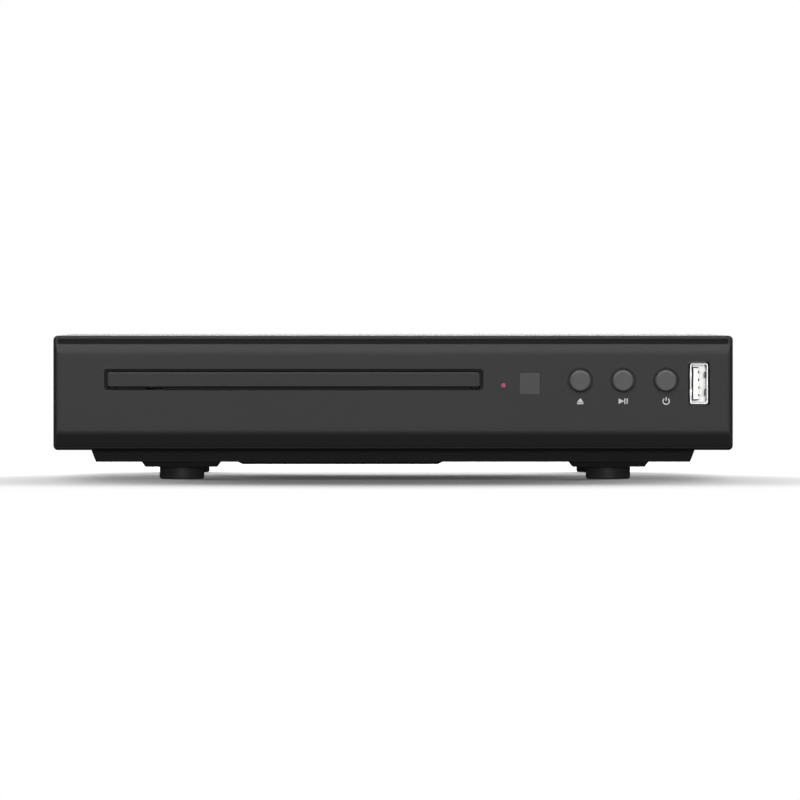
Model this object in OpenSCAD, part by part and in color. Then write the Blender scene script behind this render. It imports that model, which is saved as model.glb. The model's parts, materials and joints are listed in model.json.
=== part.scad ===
// Compact DVD player with a motor-driven disc tray.
// Millimetres. X runs to the right, Y to the back, Z up. The origin lies on the table,
// under the middle of the whole player. Depths are counted back from the front face.

/* [Case] */
// Width across the front panel
case_w = 225; // [220:1:240]
// Depth from the front face to the back of the cover
case_d = 198; // [196:1:215]
// Height of the front panel
case_h = 37.9; // [37.4:0.1:41]
// Height of the front panel's lower edge above the table
case_lift = 9.9; // [9.5:0.1:12]
// Radius of the long upper edges
case_r = 1.5; // [1.2:0.1:2.2]
// Sheet thickness of the top cover
cover_t = 0.8; // [0.6:0.1:1]
// Wall of the moulded bottom shell
shell_t = 1.8; // [1.5:0.1:2]
// Sheet thickness of the rear panel
rear_t = 1.2; // [1:0.1:1.4]
// Gap between parts that slip inside each other
slip_gap = 0.2; // [0.1:0.05:0.3]

/* [Tub and feet] */
// Distance from the side of the case to the side of the tub
tub_inset = 12.4; // [12:0.1:14]
// Depth at which the tub starts
tub_front = 10; // [9:0.5:12]
// Distance from the back of the case to the back of the tub
tub_rear = 8; // [6:0.5:9]
// Depth of the tub below the panel's lower edge
tub_h = 4.05; // [3.5:0.05:4.3]
// How far each tub wall leans in over its height
tub_lean = 1.5; // [1:0.1:2]
// Width of the shallow belly under the loader
belly_w = 65; // [55:1:75]
// Height of the belly
belly_h = 0.85; // [0.4:0.05:0.95]
// Width of a foot pad where it leaves the tub
pad_w = 27.1; // [24:0.1:30]
// Height of a foot pad
pad_h = 1.7; // [1.4:0.05:1.8]
// How far a pad's sides lean in
pad_lean = 1.6; // [1:0.05:2]
// Diameter of a foot
foot_dia = 14.8; // [13:0.1:17]
// Distance from the side of the case to a foot's centre
foot_inset = 41.5; // [38:0.1:46]
// How far the pads and feet stand to the right of the middle
foot_shift = 0.7; // [0:0.1:1.5]
// Depth of the front feet's centres
foot_front_d = 27; // [25:1:34]
// Distance from the back of the case to the rear feet's centres
foot_rear_d = 25; // [23:1:32]
// Radius of a foot's peg
peg_r = 2.5; // [2:0.1:3]

/* [Front panel] */
// Wall of the front panel
panel_t = 2.4; // [2:0.1:2.6]
// Depth of the panel's skirt
skirt_d = 9; // [8:0.5:10]
// Length of the rebate that slips under the cover
rebate_d = 4; // [3:0.5:5]
// Wall of the rebate
rebate_t = 1.2; // [1:0.1:1.5]
// How far the rim stands behind the face
rim_back = 2.6; // [2:0.1:2.8]
// Rounding of the rim's front edge
rim_round = 0.6; // [0.5:0.1:1]
// Height of the rim above the groove
rim_h = 1.2; // [1:0.1:1.5]
// Height of the groove under the rim
groove_h = 1.6; // [1.2:0.1:2]
// Depth of the groove behind the rim's front
groove_d = 1.4; // [1:0.1:1.6]
// Width of the step along each side of the face
side_step = 1; // [0.8:0.1:1.4]
// Height of the bevel along the face's upper edge
bevel_h = 2.9; // [2:0.1:3.5]
// How far the bevel runs back
bevel_run = 0.9; // [0.5:0.1:1.3]
// Height of the chin along the face's lower edge
chin_h = 5.9; // [5:0.1:7]
// Length over which the face rolls into the bevel and the chin
roll_h = 0.9; // [0.4:0.1:1.2]
// Rounding of the tray slot's corners
slot_r = 1; // [0.6:0.1:1.4]

/* [Controls] */
// Height of the button centres above the panel's lower edge
button_rise = 22.85; // [22:0.05:24]
// Distance from the side of the case to the first button
button_inset = 50.6; // [50:0.1:52]
// Distance between buttons
button_pitch = 14.2; // [13.5:0.1:14.6]
// Diameter of a button cap
button_dia = 7.15; // [6.5:0.05:7.6]
// Gap round a button cap
button_gap = 0.68; // [0.4:0.02:0.8]
// How far a cap stands out of the face
button_proud = 0.7; // [0.65:0.05:1]
// Travel of a button
button_travel = 0.6; // [0.4:0.05:0.6]
// Radius of a button's stem
stem_r = 2.2; // [1.9:0.1:2.4]
// Depth of the key board's front face
key_d = 15; // [14.5:0.1:15.5]
// Thickness of the circuit boards
pcb_t = 1.6; // [1.2:0.1:1.6]
// Height of a switch case
switch_h = 3.5; // [3.2:0.1:3.8]
// Width of the infrared window
window_w = 6.7; // [6:0.1:7.5]
// Height of the infrared window
window_h = 7.1; // [6:0.1:8]
// Height of the window's centre above the panel's lower edge
window_rise = 22.1; // [21.5:0.1:24]
// Distance from the side of the case to the window
window_inset = 67.3; // [66.5:0.1:68]
// Radius of the lamp
lamp_r = 0.75; // [0.6:0.05:1]
// Height of the lamp above the panel's lower edge
lamp_rise = 21.4; // [20:0.1:25]
// Distance from the side of the case to the lamp
lamp_inset = 76; // [75:0.1:76.5]
// Distance from the side of the case to the USB socket
usb_inset = 11.3; // [11:0.05:11.6]
// Height of the socket's centre above the panel's lower edge
usb_rise = 22; // [21:0.1:23]
// Width of the socket's shell
usb_w = 5.85; // [5.7:0.01:5.9]
// Height of the socket's shell
usb_h = 13.35; // [13.1:0.01:13.4]
// Sheet thickness of the socket's shell
usb_t = 0.35; // [0.25:0.05:0.4]

/* [Tray] */
// Distance from the left side of the case to the tray's centre
loader_inset = 79.6; // [79.4:0.1:82]
// Height of the slot's centre above the panel's lower edge
slot_rise = 23.3; // [23:0.1:24]
// Width of the tray slot
slot_w = 125.4; // [125:0.1:127]
// Height of the tray slot
slot_h = 7.05; // [6.9:0.05:7.4]
// Gap round the tray's front bar
bar_gap = 1.05; // [0.6:0.05:1.2]
// Thickness of the front bar
bar_t = 2.6; // [2.2:0.1:3]
// Gap beside the tray in the slot
tray_side_gap = 1.4; // [1.2:0.05:1.5]
// Gap under the tray in the slot
tray_low_gap = 0.6; // [0.4:0.05:0.7]
// Gap over the tray in the slot
tray_high_gap = 1.1; // [0.9:0.05:1.2]
// Depth of the tray's rear end
tray_end = 158; // [156:0.5:160]
// Depth of the disc's centre with the tray closed
disc_d = 68; // [67:0.5:69]
// Diameter of the disc's seat
disc_seat = 120.8; // [120.5:0.1:121]
// Depth of the disc's seat
disc_sink = 2.2; // [2:0.1:2.4]
// Diameter of the inner seat for small discs
small_seat = 80.6; // [80.4:0.1:81]
// Depth of the inner seat
small_sink = 0.5; // [0.3:0.1:0.7]
// Thickness of the tray under the disc
deck_t = 1.5; // [1.3:0.1:1.6]
// Half width of the opening for turntable and pickup
hatch_r = 18; // [16.5:0.5:19]
// How far the tray comes out
tray_travel = 125; // [115:1:125]

/* [Tray drive] */
// Module of rack and pinion
rack_module = 1; // [0.9:0.05:1]
// Teeth of the pinion
pinion_teeth = 14; // [13:1:14]
// Module of the gear pair
pair_module = 0.65; // [0.6:0.01:0.66]
// Teeth of the large wheel
wheel_teeth = 42; // [40:1:43]
// Teeth of the small gear
small_teeth = 14; // [13:1:15]
// Pressure angle of all teeth
tooth_angle = 25; // [22:1:26]
// Play of a tooth in its gap
tooth_play = 0.2; // [0.15:0.01:0.3]
// Distance from the tray's centre line to the rack's pitch line
rack_offset = 45; // [43:0.5:47]
// Depth of the gear centres
gear_d = 20; // [19.5:0.5:20.5]
// Distance from the pulley gear to the motor
belt_span = 26; // [24:0.5:27]
// Radius at the bottom of the large pulley's groove
pulley_r = 8.2; // [7:0.1:8.3]
// Radius at the bottom of the motor pulley's groove
motor_pulley_r = 2; // [1.6:0.1:2.4]
// Thickness of the belt
belt_t = 1; // [0.8:0.05:1.1]
// Radius of the loading motor
loading_motor_r = 12.2; // [11:0.1:12.4]
// Height of the loading motor
loading_motor_h = 10.8; // [10:0.1:11]
// Radius of the gear posts
post_r = 1.95; // [1.7:0.05:2.2]
// Running gap of a shaft in its hole
shaft_gap = 0.05; // [0.02:0.01:0.09]

/* [Loader frame] */
// Gap between tray and side walls
rail_gap = 0.4; // [0.3:0.05:0.5]
// Wall of the loader frame
frame_t = 2.2; // [1.8:0.1:2.4]
// Depth of the frame's front end
frame_front = 5; // [4.5:0.5:5.5]
// Depth of the frame's rear end
frame_end = 166; // [165:0.5:170]
// Width of the ledge that carries the tray
ledge_w = 4; // [3:0.1:4.5]
// Running gap between moving parts
run_gap = 0.3; // [0.25:0.01:0.35]
// Gap from the tray to the clamp bridge
bridge_gap = 2.4; // [2.2:0.1:2.6]
// Thickness of the clamp bridge
bridge_t = 1.4; // [1.2:0.1:1.6]
// Radius of the clamper's lower plate
clamper_r = 15; // [13:0.5:15.5]
// Radius of the hole in the clamp bridge
bridge_hole_r = 11; // [10:0.5:12]

/* [Traverse] */
// Height of a lifted disc above its seat in the tray
disc_lift = 1.2; // [1:0.1:1.4]
// Height of the disc above the pickup chassis
table_h = 10.2; // [10:0.1:10.6]
// Lowering angle of the traverse
lift_angle = 4.5; // [4.3:0.1:4.7]
// Depth of the traverse hinge
hinge_d = 152; // [151:0.5:153]
// Radius of the hinge pins
hinge_r = 2; // [1.6:0.1:2.4]
// Half width of the lift frame
lift_half = 46; // [45.5:0.5:47]
// Width of the lift frame's bars
lift_bar = 7; // [6.5:0.5:7.5]
// Height of the lift frame's bars
lift_h = 4; // [3.5:0.1:4.2]
// Thickness of the pickup chassis
chassis_t = 1.2; // [1:0.1:1.4]
// Length of the cam slider's travel
cam_travel = 24; // [20:1:25]
// Radius of the cam pegs
cam_peg_r = 1.5; // [1.3:0.1:1.7]
// Radius of the turntable
table_r = 14; // [12.5:0.5:14.5]
// Radius of the turntable's hub under a 15 mm disc hole
hub_r = 7.4; // [7.3:0.05:7.45]
// Height of the hub above the disc's underside
hub_h = 2; // [1.8:0.1:2.1]
// Radius of the guide rods
rod_r = 1.5; // [1.3:0.1:1.6]
// Distance of the right guide rod from the centre line
rod_right = 22; // [21.5:0.1:22.5]
// Distance of the left guide rod from the centre line
rod_left = 24; // [23:0.1:25]
// Distance of the lead screw from the centre line
screw_off = 32; // [31.5:0.1:32.5]
// Radius of the sled motor
sled_motor_r = 3.8; // [3.6:0.1:4]
// Travel of the pickup sled
sled_travel = 35; // [32:0.5:35]
// Distance from spindle to lens with the sled fully in
lens_in = 24; // [23.5:0.1:25]

/* [Electronics] */
// Gap from the loader to the main board
board_gap = 3.5; // [3:0.1:4]
// Depth of the main board's front edge
board_front = 20; // [19:0.5:22]
// Height of the main board above the tub's floor
board_rise = 8.2; // [8:0.1:9]
// How far the phono sockets stand out of the back
jack_proud = 8.2; // [7.5:0.1:9]
// Radius of a phono socket's barrel
jack_r = 4.15; // [4.1:0.01:4.2]
// Distance between phono sockets
jack_pitch = 14; // [13:0.5:14]

/* [Hidden] */
$fn = 48;

// case
half_w = case_w / 2;
face_y = button_proud - (button_proud + case_d + jack_proud) / 2;
rear_y = face_y + case_d;
low_z = case_lift;
top_z = case_lift + case_h;
inner_half = half_w - cover_t - slip_gap;
skirt_wall = cover_t + slip_gap + rebate_t;
sole_wall = shell_t + slip_gap + rebate_t;
chin_run = rim_back + rim_round;
groove_z = top_z - rim_h - groove_h;
cover_z = low_z + case_r;
tub_half = half_w - tub_inset;
tub_y0 = face_y + tub_front;
tub_y1 = rear_y - tub_rear;
tub_z = low_z - tub_h;
floor_z = tub_z + shell_t;
shelf_z = low_z + shell_t;
pad_z = tub_z - pad_h;
foot_x = [foot_inset - half_w + foot_shift, half_w - foot_inset + foot_shift];
foot_y0 = face_y + foot_front_d;
foot_y1 = rear_y - foot_rear_d;
peg_h = shell_t + pad_h - 0.4;
rib_t = 1.2;
rib_h = 1.4;
rib_off = 52;
rear_y0 = rear_y - cover_t - rear_t;
lip_h = 7;
screw_x = [-half_w + 14, 0, half_w - 14];
screw_z = top_z - 4.2;
vent_count = 14;
vent_pitch = 5;

// controls
button_z = low_z + button_rise;
window_z = low_z + window_rise;
window_x = half_w - window_inset;
lamp_z = low_z + lamp_rise;
lamp_x = half_w - lamp_inset;
usb_x = half_w - usb_inset;
usb_z = low_z + usb_rise;
flange_t = 1;
guide_d = panel_t + 2 * run_gap + flange_t + button_travel + 0.4;
guide_t = 1.4;
plunger_out = 1.3;
plunger_r = 1.75;
stem_end = key_d - switch_h - plunger_out;

// loader
loader_x = loader_inset - half_w;
slot_z = low_z + slot_rise;
tray_half = slot_w / 2 - tray_side_gap;
tray_z0 = slot_z - slot_h / 2 + tray_low_gap;
tray_z1 = slot_z + slot_h / 2 - tray_high_gap;
seat_z = tray_z1 - disc_sink;
deck_z = seat_z - deck_t;
disc_y = face_y + disc_d;
wall_in = tray_half + rail_gap;
wall_out = wall_in + frame_t;
wall_z0 = shelf_z + run_gap;
wall_z1 = tray_z1 + 0.7;
wall_y0 = back(skirt_d + rebate_d) + run_gap;
chin_clear_z = low_z + chin_h - 0.5;
bridge_z = tray_z1 + bridge_gap;
lug_z = shelf_z + 2;
lug_t = 2.5;
lug_off = wall_out + 4.5;
lug_end = lug_off + 4;
lug_half = 4;
lug_hole = 3.2;
lug_y = [face_y + 30, face_y + 140];

// gears
gear_y = face_y + gear_d;
pinion_pitch_r = rack_module * pinion_teeth / 2;
wheel_pitch_r = pair_module * wheel_teeth / 2;
small_pitch_r = pair_module * small_teeth / 2;
drive_x = loader_x - rack_offset + pinion_pitch_r;
pulley_x = drive_x + wheel_pitch_r + small_pitch_r;
motor_x = pulley_x + belt_span;
gear_deck_z = tray_z0 - 4.3;
gear_deck_t = 1.6;
wheel_z = gear_deck_z + 0.4;
wheel_t = 1.8;
pinion_z = deck_z - run_gap;
pulley_z = wheel_z + wheel_t + 0.6;
pulley_t = 2.4;
belt_z = pulley_z + pulley_t / 2;
groove_half = belt_t / 2 + 0.1;
rim_extra = belt_t + 0.3;

// traverse, drawn level as it stands when a disc plays
disc_z = seat_z + disc_lift;
chassis_z = disc_z - table_h;
lift_z1 = chassis_z - chassis_t - run_gap - 0.9;
lift_z0 = lift_z1 - lift_h;
hinge_y = face_y + hinge_d;
hinge_z = (lift_z0 + lift_z1) / 2;
lift_y0 = face_y + 40;
lift_y1 = hinge_y + 4;
cam_y0 = face_y + 35.8;
cam_t = 2.4;
cam_peg_z = lift_z1 + 2;
cam_peg_x = [loader_x - 12, loader_x + 24];
cam_low_z = hinge_z - (hinge_y - cam_y0 - cam_t / 2) * sin(lift_angle)
    + (cam_peg_z - hinge_z) * cos(lift_angle);
cam_web = 3.4;
cam_shelf_z = cam_low_z - cam_web - run_gap;
lens_y = disc_y + lens_in;
sled_y0 = lens_y - 9;
sled_y1 = sled_y0 + 30;
rod_z = chassis_z + 3.2;
rod_y0 = disc_y + 8;
rod_y1 = hinge_y - 2;
screw_y0 = disc_y + 11;
screw_r = 1.5;
sled_motor_y0 = hinge_y - 18;
sled_motor_l = 15;
chassis_half = screw_off + sled_motor_r + 2.2;

// electronics
board_x0 = loader_x + wall_out + board_gap;
board_x1 = inner_half - shell_t - 2;
board_y0 = face_y + board_front;
board_y1 = rear_y0 - 3;
board_z = floor_z + board_rise;
board_top = board_z + pcb_t;
post_x = [board_x0 + 10, tub_half - shell_t - tub_lean - 5];
post_y = [board_y0 + 7, tub_y1 - shell_t - tub_lean - 8];
key_x0 = loader_x + wall_out + 2.2;
key_x1 = inner_half - 2.4;
key_z0 = low_z + 5.6;
key_z1 = top_z - 3.8;
jack_x0 = board_x1 - 7.7 - 2 * jack_pitch;
hdmi_x = jack_x0 - 16;
inlet_x = hdmi_x - 16;
strip_x0 = inlet_x - 5.5;
strip_d = 16;
jack_z = board_top + 7.2;
hdmi_w = 15;
hdmi_h = 5.6;

function back(v) = face_y + v;
function button_x(i) = half_w - button_inset + i * button_pitch;
function jack_x(i) = jack_x0 + i * jack_pitch;
function on_board(u, v) = [board_x0 + u * (board_x1 - board_x0), board_y0 + v * (board_y1 - board_y0)];
function arc(cx, cy, r, a0, a1, n = 8) =
    [for (i = [0:n]) let (a = a0 + (a1 - a0) * i / n) [cx + r * cos(a), cy + r * sin(a)]];
function round_rect(w, h, r) = concat(
    arc(w / 2 - r, -h / 2 + r, r, -90, 0), arc(w / 2 - r, h / 2 - r, r, 0, 90),
    arc(-w / 2 + r, h / 2 - r, r, 90, 180), arc(-w / 2 + r, -h / 2 + r, r, 180, 270));
function roll(a, b, c, n = 4) =
    [for (i = [0:n]) let (t = i / n) (1 - t) * (1 - t) * a + 2 * t * (1 - t) * b + t * t * c];
function inv(a) = tan(a) * 180 / PI - a;
function tooth_half(rho, m, n) =
    let (r = m * n / 2, rb = r * cos(tooth_angle))
    (PI * m / 2 - tooth_play) / (2 * r) * 180 / PI + inv(tooth_angle) - inv(acos(min(1, rb / rho)));
function gear_points(m, n, start) =
    let (r = m * n / 2, r0 = r - 1.25 * m, dr = 2.25 * m / 4)
    [for (i = [0:n - 1]) let (mid = start + i * 360 / n)
        each concat(
            [for (k = [0:4]) let (rho = r0 + k * dr, a = mid - tooth_half(rho, m, n))
                [rho * cos(a), rho * sin(a)]],
            [for (k = [4:-1:0]) let (rho = r0 + k * dr, a = mid + tooth_half(rho, m, n))
                [rho * cos(a), rho * sin(a)]])];

// shared shapes
module box(a, b) {
    translate(a) cube(b - a);
}
module along_x(x0, x1) {
    translate([x0, 0, 0]) rotate([90, 0, 90]) linear_extrude(x1 - x0) children();
}
module along_y(y0, y1) {
    translate([0, y1, 0]) rotate([90, 0, 0]) linear_extrude(y1 - y0) children();
}
module rod_x(x0, x1, y, z, r) {
    translate([x0, y, z]) rotate([0, 90, 0]) cylinder(h = x1 - x0, r = r);
}
module rod_y(x, y0, y1, z, r) {
    translate([x, y0, z]) rotate([-90, 0, 0]) cylinder(h = y1 - y0, r = r);
}
module rod_z(x, y, z0, z1, r) {
    translate([x, y, z0]) cylinder(h = z1 - z0, r = r);
}
module round_bar(x, z, w, h, r, y0, y1) {
    translate([x, 0, z]) along_y(y0, y1) polygon(round_rect(w, h, r));
}
module tapered_block(x, y, z0, z1, w0, l0, w1, l1) {
    intersection() {
        translate([x, 0, 0]) along_y(y - l1, y + l1)
            polygon([[-w0 / 2, z0], [w0 / 2, z0], [w1 / 2, z1], [-w1 / 2, z1]]);
        translate([0, y, 0]) along_x(x - w1, x + w1)
            polygon([[-l0 / 2, z0], [l0 / 2, z0], [l1 / 2, z1], [-l1 / 2, z1]]);
    }
}
module pan_screw(head_r, head_h, shank_r, shank_l) {
    cylinder(h = head_h, r = head_r);
    translate([0, 0, -shank_l]) cylinder(h = shank_l + 0.2, r = shank_r);
}
// sets a level traverse part down to its lowered rest position
module lowered() {
    translate([0, hinge_y, hinge_z]) rotate([lift_angle, 0, 0])
        translate([0, -hinge_y, -hinge_z]) children();
}

// ---- case ----
module cover_outline(inset, drop) {
    r = case_r - inset;
    polygon(concat(
        [[-half_w + inset, cover_z - drop], [half_w - inset, cover_z - drop]],
        arc(half_w - inset - r, top_z - inset - r, r, 0, 90),
        arc(-half_w + inset + r, top_z - inset - r, r, 90, 180)));
}
module top_cover() {
    color("#2b2b2d")
    difference() {
        union() {
            along_y(back(skirt_d), rear_y) difference() {
                cover_outline(0, 0);
                cover_outline(cover_t, 1);
            }
            along_y(rear_y - cover_t, rear_y) intersection() {
                cover_outline(cover_t / 2, 0);
                translate([-half_w, top_z - lip_h]) square([case_w, lip_h]);
            }
        }
        for (x = screw_x) rod_y(x, rear_y - 2, rear_y + 1, screw_z, 1.55);
        for (i = [0:vent_count - 1])
            box([-half_w - 1, back(case_d * 0.55) + i * vent_pitch, low_z + 14],
                [half_w + 1, back(case_d * 0.55) + i * vent_pitch + 1.8, low_z + 26]);
    }
}
module tub(inset, z0) {
    w = 2 * (tub_half - inset);
    l = tub_y1 - tub_y0 - 2 * inset;
    tapered_block(0, (tub_y0 + tub_y1) / 2, z0, shelf_z,
        w - 2 * tub_lean, l - 2 * tub_lean,
        w + 2 * tub_lean * shell_t / tub_h, l + 2 * tub_lean * shell_t / tub_h);
}
module bottom_shell() {
    wall_h = 12;
    belly_x = loader_x + 15.4;
    color("#1c1c1e")
    difference() {
        union() {
            difference() {
                union() {
                    box([-inner_half, back(skirt_d) + slip_gap, low_z],
                        [inner_half, rear_y - cover_t, shelf_z]);
                    tub(0, tub_z);
                    tapered_block(belly_x, (tub_y0 + tub_y1) / 2, tub_z - belly_h, tub_z + 0.5,
                        belly_w, tub_y1 - tub_y0 - 16, belly_w + 5.4, tub_y1 - tub_y0 - 13);
                    for (x = foot_x, y = [foot_y0, foot_y1])
                        tapered_block(x, y, pad_z, tub_z + 0.5, pad_w - 2 * pad_lean,
                            pad_w - 2 * pad_lean, pad_w, pad_w);
                }
                difference() {
                    tub(shell_t, floor_z);
                    for (y = [foot_y0, foot_y1], x = foot_x)
                        rod_z(x, y, floor_z - 1, floor_z + 1.6, peg_r + 2);
                }
            }
            for (s = [-1, 1])
                box([s * inner_half - (s > 0 ? shell_t : 0), wall_y0, low_z],
                    [s * inner_half + (s > 0 ? 0 : shell_t), rear_y0 - run_gap, low_z + wall_h]);
            for (y = lug_y) {
                rod_z(loader_x - lug_off, y, shelf_z - 0.5, lug_z, 3.2);
                rod_z(loader_x + lug_off, y, floor_z - 0.5, lug_z, 3.2);
            }
            for (x = post_x, y = post_y) {
                rod_z(x, y, floor_z - 0.5, board_z, 3);
                for (a = [0, 90]) translate([x, y, 0]) rotate([90, 0, a]) translate([0, 0, -rib_t / 2])
                    linear_extrude(rib_t) polygon([[-5.5, floor_z - 0.5], [5.5, floor_z - 0.5],
                        [5.5, floor_z + 1], [2.5, board_z - 1.5],
                        [-2.5, board_z - 1.5], [-5.5, floor_z + 1]]);
            }
            for (s = [-1, 1])
                box([loader_x + s * rib_off - rib_t / 2, lift_y0 + 6, floor_z - 0.5],
                    [loader_x + s * rib_off + rib_t / 2, tub_y1 - 6, floor_z + rib_h]);
            for (y = [back(95), back(125), tub_y1 - 20])
                box([loader_x - rib_off, y, floor_z - 0.5],
                    [loader_x + rib_off, y + rib_t, floor_z + rib_h]);
        }
        for (x = [post_x[0] + 8:4.4:post_x[1] - 3])
            box([x, back(82), tub_z - 1], [x + 2, back(108), floor_z + 1]);
        for (x = foot_x, y = [foot_y0, foot_y1])
            rod_z(x, y, pad_z - 1, pad_z + peg_h + 0.2, peg_r + shaft_gap);
        for (y = lug_y, s = [-1, 1]) rod_z(loader_x + s * lug_off, y, lug_z - lug_hole, lug_z + 1, 1.2);
        for (x = post_x, y = post_y) rod_z(x, y, board_z - 6, board_z + 1, 1.2);
    }
}
module foot(x, y) {
    r = foot_dia / 2;
    color("#232325")
    translate([x, y, 0]) rotate_extrude()
        polygon([[0, 0.5], [r - 3, 0.5], [r - 2.6, 0], [r - 0.4, 0], [r, 0.4],
            [r, pad_z], [peg_r, pad_z], [peg_r, pad_z + peg_h], [0, pad_z + peg_h]]);
}
module foot_front_left() { foot(foot_x[0], foot_y0); }
module foot_front_right() { foot(foot_x[1], foot_y0); }
module foot_rear_left() { foot(foot_x[0], foot_y1); }
module foot_rear_right() { foot(foot_x[1], foot_y1); }
module rear_panel() {
    color("#29292b")
    difference() {
        box([-inner_half, rear_y0, shelf_z], [inner_half, rear_y - cover_t, top_z - cover_t - slip_gap]);
        for (x = screw_x) rod_y(x, rear_y0 - 1, rear_y, screw_z, 1.2);
        for (i = [0:2]) rod_y(jack_x(i), rear_y0 - 1, rear_y, jack_z, 3.7);
        box([hdmi_x - hdmi_w / 2 - 0.4, rear_y0 - 1, board_top - 0.4],
            [hdmi_x + hdmi_w / 2 + 0.4, rear_y, board_top + hdmi_h + 0.4]);
        rod_y(inlet_x, rear_y0 - 1, rear_y, board_top + 6, 4.9);
        for (x = [loader_x - 52:8.5:inlet_x - 25], z = [low_z + 11, low_z + 20])
            box([x, rear_y0 - 1, z], [x + 6, rear_y, z + 2]);
    }
}
module cover_screws() {
    color("#3a3a3c")
    for (x = screw_x) translate([x, rear_y, screw_z]) rotate([-90, 0, 0]) pan_screw(2.8, 1.6, 1.15, 7);
}

// ---- front panel and controls ----
module panel_face() {
    edge = 0.8;
    w = half_w - side_step;
    intersection() {
        along_x(-w, w) polygon(concat(
            [[back(chin_run), low_z]],
            roll([back(roll_h * chin_run / chin_h), low_z + chin_h - roll_h],
                [back(0), low_z + chin_h], [back(0), low_z + chin_h + roll_h]),
            roll([back(0), groove_z - bevel_h - roll_h], [back(0), groove_z - bevel_h],
                [back(roll_h * bevel_run / bevel_h), groove_z - bevel_h + roll_h]),
            [[back(bevel_run), groove_z], [back(rim_back + groove_d + 1), groove_z],
            [back(rim_back + groove_d + 1), low_z]]));
        translate([0, 0, low_z]) linear_extrude(case_h) polygon([
            [-w, back(edge)], [-w + edge / 3, back(edge / 4)], [-w + edge, back(0)],
            [w - edge, back(0)], [w - edge / 3, back(edge / 4)], [w, back(edge)],
            [w, back(rim_back + groove_d + 1)], [-w, back(rim_back + groove_d + 1)]]);
    }
}
module panel_skirt() {
    mid_z = (low_z + top_z) / 2;
    hull() {
        round_bar(0, mid_z, case_w - 2 * rim_round, case_h - 2 * rim_round, case_r - rim_round / 2,
            back(rim_back), back(rim_back) + 0.05);
        round_bar(0, mid_z, case_w - 0.6 * rim_round, case_h - 0.6 * rim_round, case_r,
            back(rim_back + 0.3 * rim_round), back(rim_back + 0.35 * rim_round));
        round_bar(0, mid_z, case_w, case_h, case_r, back(rim_back + rim_round), back(skirt_d));
    }
    box([-half_w + cover_t + slip_gap, back(skirt_d - 1), shelf_z + slip_gap],
        [half_w - cover_t - slip_gap, back(skirt_d + rebate_d), top_z - cover_t - slip_gap]);
}
module panel_hollow() {
    step_d = rim_back + groove_d + rebate_t;
    end_d = skirt_d + rebate_d + 1;
    along_x(-half_w + skirt_wall, half_w - skirt_wall) polygon([
        [back(panel_t), low_z + chin_h + 0.6], [back(panel_t), groove_z - rebate_t],
        [back(step_d), groove_z - rebate_t], [back(step_d), top_z - skirt_wall],
        [back(end_d), top_z - skirt_wall], [back(end_d), low_z + sole_wall],
        [back(chin_run + panel_t + 1), low_z + sole_wall]]);
}
module front_panel() {
    color("#3b3b3d")
    union() {
        difference() {
            union() {
                panel_skirt();
                panel_face();
            }
            panel_hollow();
            box([-half_w + side_step + 0.6, back(-1), groove_z],
                [half_w - side_step - 0.6, back(rim_back + groove_d), top_z - rim_h]);
            round_bar(loader_x, slot_z, slot_w, slot_h, slot_r, back(-1), back(panel_t + 1));
            for (i = [0:2])
                rod_y(button_x(i), back(-1), back(panel_t + 1), button_z, button_dia / 2 + button_gap);
            round_bar(window_x, window_z, window_w + 0.1, window_h + 0.1, 0.4, back(-1), back(panel_t + 1));
            rod_y(lamp_x, back(-1), back(panel_t + 1), lamp_z, lamp_r + shaft_gap);
            round_bar(usb_x, usb_z, usb_w + 1.3, usb_h + 1.2, 0.8, back(-1), back(panel_t + 1));
        }
        for (x = [key_x0 + 3, key_x1 - 2.6], z = [key_z0 + 3, key_z1 - 2.4])
            rod_y(x, back(panel_t - 0.5), back(key_d), z, 2.2);
        for (x = [-tub_half + 12:35:tub_half - 12]) snap_nib(x);
        for (x = [-half_w + 5, -half_w + 9]) along_x(x, x + rib_t) polygon([
            [back(panel_t - 0.4), low_z + chin_h + 1],
            [back(panel_t - 0.4), groove_z - rebate_t - 0.5],
            [back(panel_t + 1.2), groove_z - rebate_t - 0.5],
            [back(skirt_d - 1), low_z + chin_h + 5],
            [back(skirt_d - 1), low_z + sole_wall - 0.5],
            [back(chin_run + panel_t), low_z + sole_wall - 0.5]]);
    }
}
// hooks the panel behind the front wall of the tub
module snap_nib(x) {
    y1 = back(skirt_d + rebate_d);
    along_x(x - 4, x + 4) polygon([[y1 - 0.7, shelf_z + 0.5], [y1 - 0.7, shelf_z - 1.2],
        [y1 - 0.4, shelf_z - 1.4], [y1, shelf_z - 0.4], [y1, shelf_z + 0.5]]);
}
module button(i) {
    r = button_dia / 2;
    color("#5c5c60")
    translate([button_x(i), face_y, button_z]) rotate([-90, 0, 0]) rotate_extrude()
        polygon([[0, -button_proud], [r - 0.6, -button_proud], [r - 0.25, -button_proud + 0.15],
            [r, -button_proud + 0.5], [r, panel_t + run_gap], [r + 1.3, panel_t + run_gap],
            [r + 1.3, panel_t + run_gap + flange_t], [stem_r, panel_t + run_gap + flange_t],
            [stem_r, stem_end], [0, stem_end]]);
}
module eject_button() { button(0); }
module play_button() { button(1); }
module power_button() { button(2); }
module plunger(i) {
    color("#d8d4c8")
    rod_y(button_x(i), back(stem_end), back(key_d - switch_h + 1.2), button_z, plunger_r);
}
module eject_plunger() { plunger(0); }
module play_plunger() { plunger(1); }
module power_plunger() { plunger(2); }
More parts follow.
